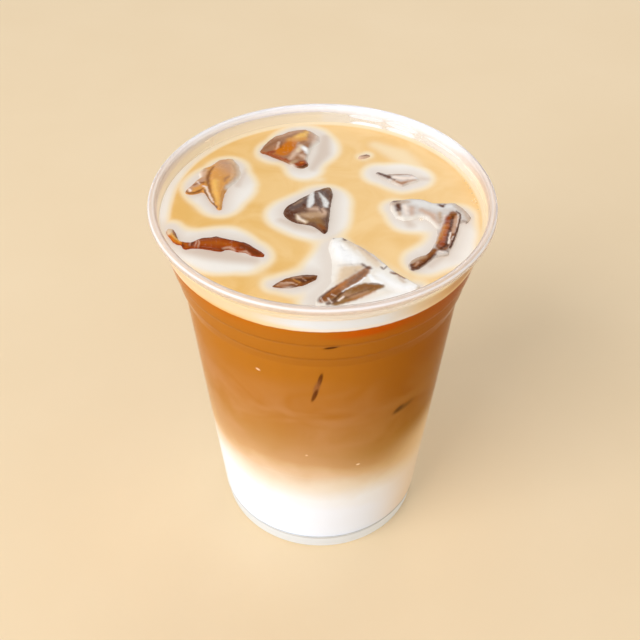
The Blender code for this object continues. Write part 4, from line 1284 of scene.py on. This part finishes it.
# Where light coming through the ice makes the coffee under it glow: lines of (x, y, half width)
AMBER_REACH = (-2.0, 2.0)
AMBER_PLACES = [
    [(-30, 16, 4), (-29.5, 4, 3)],
    [(-12, 28, 6), (-6, 38, 6)],
    [(36, -4, 2.5), (32, -16, 2.5)],
    [(-42, -10, 2), (-37, -16, 2)],
]


def note_light_through_ice(layer):
    points = corners(layer)
    amber = np.zeros(len(points))
    for line in AMBER_PLACES:
        amber = np.maximum(amber, ramp(-outside(points, line), *AMBER_REACH))
    note(layer, "amber", amber)


# How pale the foam's side is, by degrees round the cup from the front, right positive
BAND_PALENESS = ([-180, -110, -70, -44, -24, -8, 20, 32, 42, 50, 60, 90, 150, 180],
                 [0.5, 0.5, 0.55, 0.6, 0.7, 1.0, 1.0, 0.72, 0.45, 0.2, 0.1, 0.2, 0.6, 0.5])
# The pale edge of its top at the wall, in the same way: how pale, and how wide
EDGE_PALENESS = ([-180, -140, -115, -90, -60, -40, -14, 0, 25, 40, 60, 100, 150, 180],
                 [0.5, 0.5, 0.75, 0.9, 0.6, 0.3, 0.5, 1.0, 1.0, 0.5, 0.4, 0.5, 0.5, 0.5])
EDGE_WIDTH = ([-180, -120, -95, -70, -50, -30, 0, 30, 60, 120, 180],
              [1.8, 2.6, 4.2, 4.0, 1.6, 1.2, 2.4, 2.0, 1.6, 1.8, 1.8])


def ice_gaps(points):
    """How far each point is from the nearest ice at the drink's top."""
    waterline = []
    for piece in ICE_PIECES:
        ice_points = corners(piece)
        waterline.append(ice_points[np.abs(ice_points[:, 2] - DRINK_TOP) < WATERLINE])
    waterline = np.vstack(waterline)
    tree = KDTree(len(waterline))
    for index, point in enumerate(waterline):
        tree.insert(point, index)
    tree.balance()
    return np.array([tree.find(point)[2] for point in points])


def note_foam(layer, rim):
    """Notes where the foam is pale, where painted shade greys it near the ice, and where it is rich, on its
    top and round its side.
    """
    points = corners(layer)
    halo = ramp(pool_depth(points, POOLS, POOL_SOFTNESS), *POOL_REACH)
    for line, paleness in PALE_PATCHES:
        halo = np.maximum(halo, paleness * ramp(-outside(points, line), *PALE_REACH))
    turn, around = round_the_cup(points)
    width = np.interp(turn, *EDGE_WIDTH)
    edge = ramp(around - rim + width, 0.0, width * 0.7)
    halo = np.maximum(halo, edge * np.interp(turn, *EDGE_PALENESS))
    side = ramp(around, *(rim - gap for gap in SIDE_INWARD))
    side = side * ramp(DRINK_TOP - points[:, 2], *SIDE_DOWN)
    halo = halo + (np.interp(turn, *BAND_PALENESS) - halo) * side
    near = ramp(NEAR_ICE - ice_gaps(points), 0.0, NEAR_ICE) * NEAR_ICE_SHADE
    for line in SHADES:
        near = np.maximum(near, SHADE * ramp(-outside(points, line), *SHADE_REACH))
    note(layer, "near_ice", near)
    note(layer, "side", side)
    rich = RICH_LEFT * ramp(-points[:, 0], 0.0, RICH_LEFT_WIDTH)
    for line in RICH_PATCHES:
        share = ramp(-outside(points, line), *RICH_REACH)
        rich = np.maximum(rich, RICH * share)
        halo = halo * (1 - RICH_DIMS_HALO * share * (1 - side))
    note(layer, "halo", halo)
    note(layer, "rich", rich)


def foam_layer():
    rim = drink_radius(DRINK_TOP)
    low = COFFEE_TOP + FOAM_LIFT
    stations = [(HUB, low), (drink_radius(COFFEE_TOP) - FACE_EDGE, low)]
    stations += [(drink_radius(z), z) for z in FOAM_HEIGHTS]
    inward = np.arange(RIM_GAPS[-1] + FOAM_STEP, rim - 0.4, FOAM_STEP)
    for gap in (*RIM_GAPS, *inward):
        climb = MENISCUS * math.exp(-gap / MENISCUS_WIDTH)
        stations.append((rim - gap, DRINK_TOP + climb))
    layer = turned("foam_layer", stations, FOAM_SIDES)
    layer.data.materials.append(foam_top())
    cut_hollows(layer, FOAM_INSET)
    note_foam(layer, rim)
    smooth(layer)
    note_light_through_ice(layer)
    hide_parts("milk_foam")
    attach(layer, "root")
    return layer


# Small bubbles in the foam: (x, y, radius), and how high their middles stand over its top
BUBBLE_LIFT = 0.1
BUBBLES = [
    (41.8, 15.0, 0.34), (43.0, 11.6, 0.3), (43.4, 9.0, 0.24), (42.4, 13.2, 0.22), (43.9, 6.2, 0.38),
    (44.2, 5.0, 0.5), (43.6, 4.2, 0.4), (44.6, 3.6, 0.3), (43.0, 5.2, 0.26), (27.8, -3.8, 0.5),
    (41.2, 17.6, 0.2), (44.4, 1.2, 0.24),
]


def bubbles():
    put_down()
    made = []
    for x, y, radius in BUBBLES:
        bpy.ops.mesh.primitive_uv_sphere_add(segments=16, ring_count=8, radius=radius * MM,
                                             location=(x * MM, y * MM, (DRINK_TOP + BUBBLE_LIFT) * MM))
        made.append(bpy.context.object)
    for bubble in made:
        bubble.select_set(True)
    bpy.ops.object.join()
    froth = bpy.context.object
    froth.name = "small_bubbles"
    bpy.ops.object.transform_apply(location=True, rotation=True, scale=True)
    bpy.ops.object.shade_smooth()
    froth.data.materials.append(bubble_skin())
    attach(froth, "root")
    return froth


# ---------------------------------------------------------------- floor, light and camera

def floor():
    put_down()
    bpy.ops.mesh.primitive_circle_add(vertices=96, radius=3.0, fill_type="NGON", location=(0, 0, 0))
    ground = bpy.context.object
    ground.name = "pale_floor"
    bpy.ops.object.mode_set(mode="EDIT")
    bpy.ops.mesh.extrude_region_move(TRANSFORM_OT_translate={"value": (0, 0, -0.02)})
    close_mesh()
    tidy_mesh(ground)
    ground.data.materials.append(pale_floor())


def area_light(name, place, aim, size, power, colour=(1, 1, 1)):
    light = bpy.data.lights.new(name, "AREA")
    light.shape = "RECTANGLE"
    light.size, light.size_y = size
    light.energy = power
    light.color = colour
    lamp = bpy.data.objects.new(name, light)
    bpy.context.scene.collection.objects.link(lamp)
    lamp.location = place
    lamp.rotation_euler = (Vector(aim) - Vector(place)).to_track_quat("-Z", "Y").to_euler()


def daylight():
    world = bpy.data.worlds.new("soft_daylight")
    bpy.context.scene.world = world
    world.use_nodes = True
    sky = world.node_tree.nodes["Background"]
    sky.inputs["Color"].default_value = (0.97, 0.985, 1.0, 1)
    sky.inputs["Strength"].default_value = 0.62
    area_light("window", (-0.80, -0.70, 0.90), (0, 0, 0.06), (0.9, 0.9), 11.5)
    area_light("warm_fill", (1.0, -0.45, 0.22), (0, 0, 0.04), (0.6, 0.4), 1.3, (1.0, 0.86, 0.68))
    area_light("back_window", (0.30, 0.9, 0.75), (0, 0, 0.1), (0.5, 0.35), 1.5)


# The photograph's camera
CAMERA_LENS = 58.92
CAMERA_TARGET = 67.1
CAMERA_DISTANCE = 331.33
CAMERA_ELEVATION = 43.3836
CAMERA_ROLL = 0.6087
CAMERA_SHIFT = (-0.00183, 0.02498)


def camera():
    lens = bpy.data.cameras.new("photo_camera")
    lens.lens = CAMERA_LENS
    lens.sensor_width = 36.0
    lens.shift_x, lens.shift_y = CAMERA_SHIFT
    lens.clip_start = 0.01
    eye = bpy.data.objects.new("photo_camera", lens)
    bpy.context.scene.collection.objects.link(eye)
    elevation = math.radians(CAMERA_ELEVATION)
    back = Vector((0, -math.cos(elevation), math.sin(elevation)))
    place = Vector((0, 0, CAMERA_TARGET * MM)) + back * CAMERA_DISTANCE * MM
    tilt = Matrix.Rotation(math.pi / 2 - elevation, 4, "X")
    roll = Matrix.Rotation(math.radians(CAMERA_ROLL), 4, "Z")
    eye.matrix_world = Matrix.Translation(place) @ tilt @ roll
    bpy.context.scene.camera = eye


put_down()
HOLLOW_FINISH = coffee_under_ice()
ICE_FINISH = ice()
ICE_PIECES = []
cup_shell()
for ice_node in ICE_MARKS:
    ice_piece(ice_node)
milk_layer()
coffee_layer()
foam_layer()
bubbles()
floor()
daylight()
camera()
bpy.context.scene.view_settings.view_transform = "Standard"
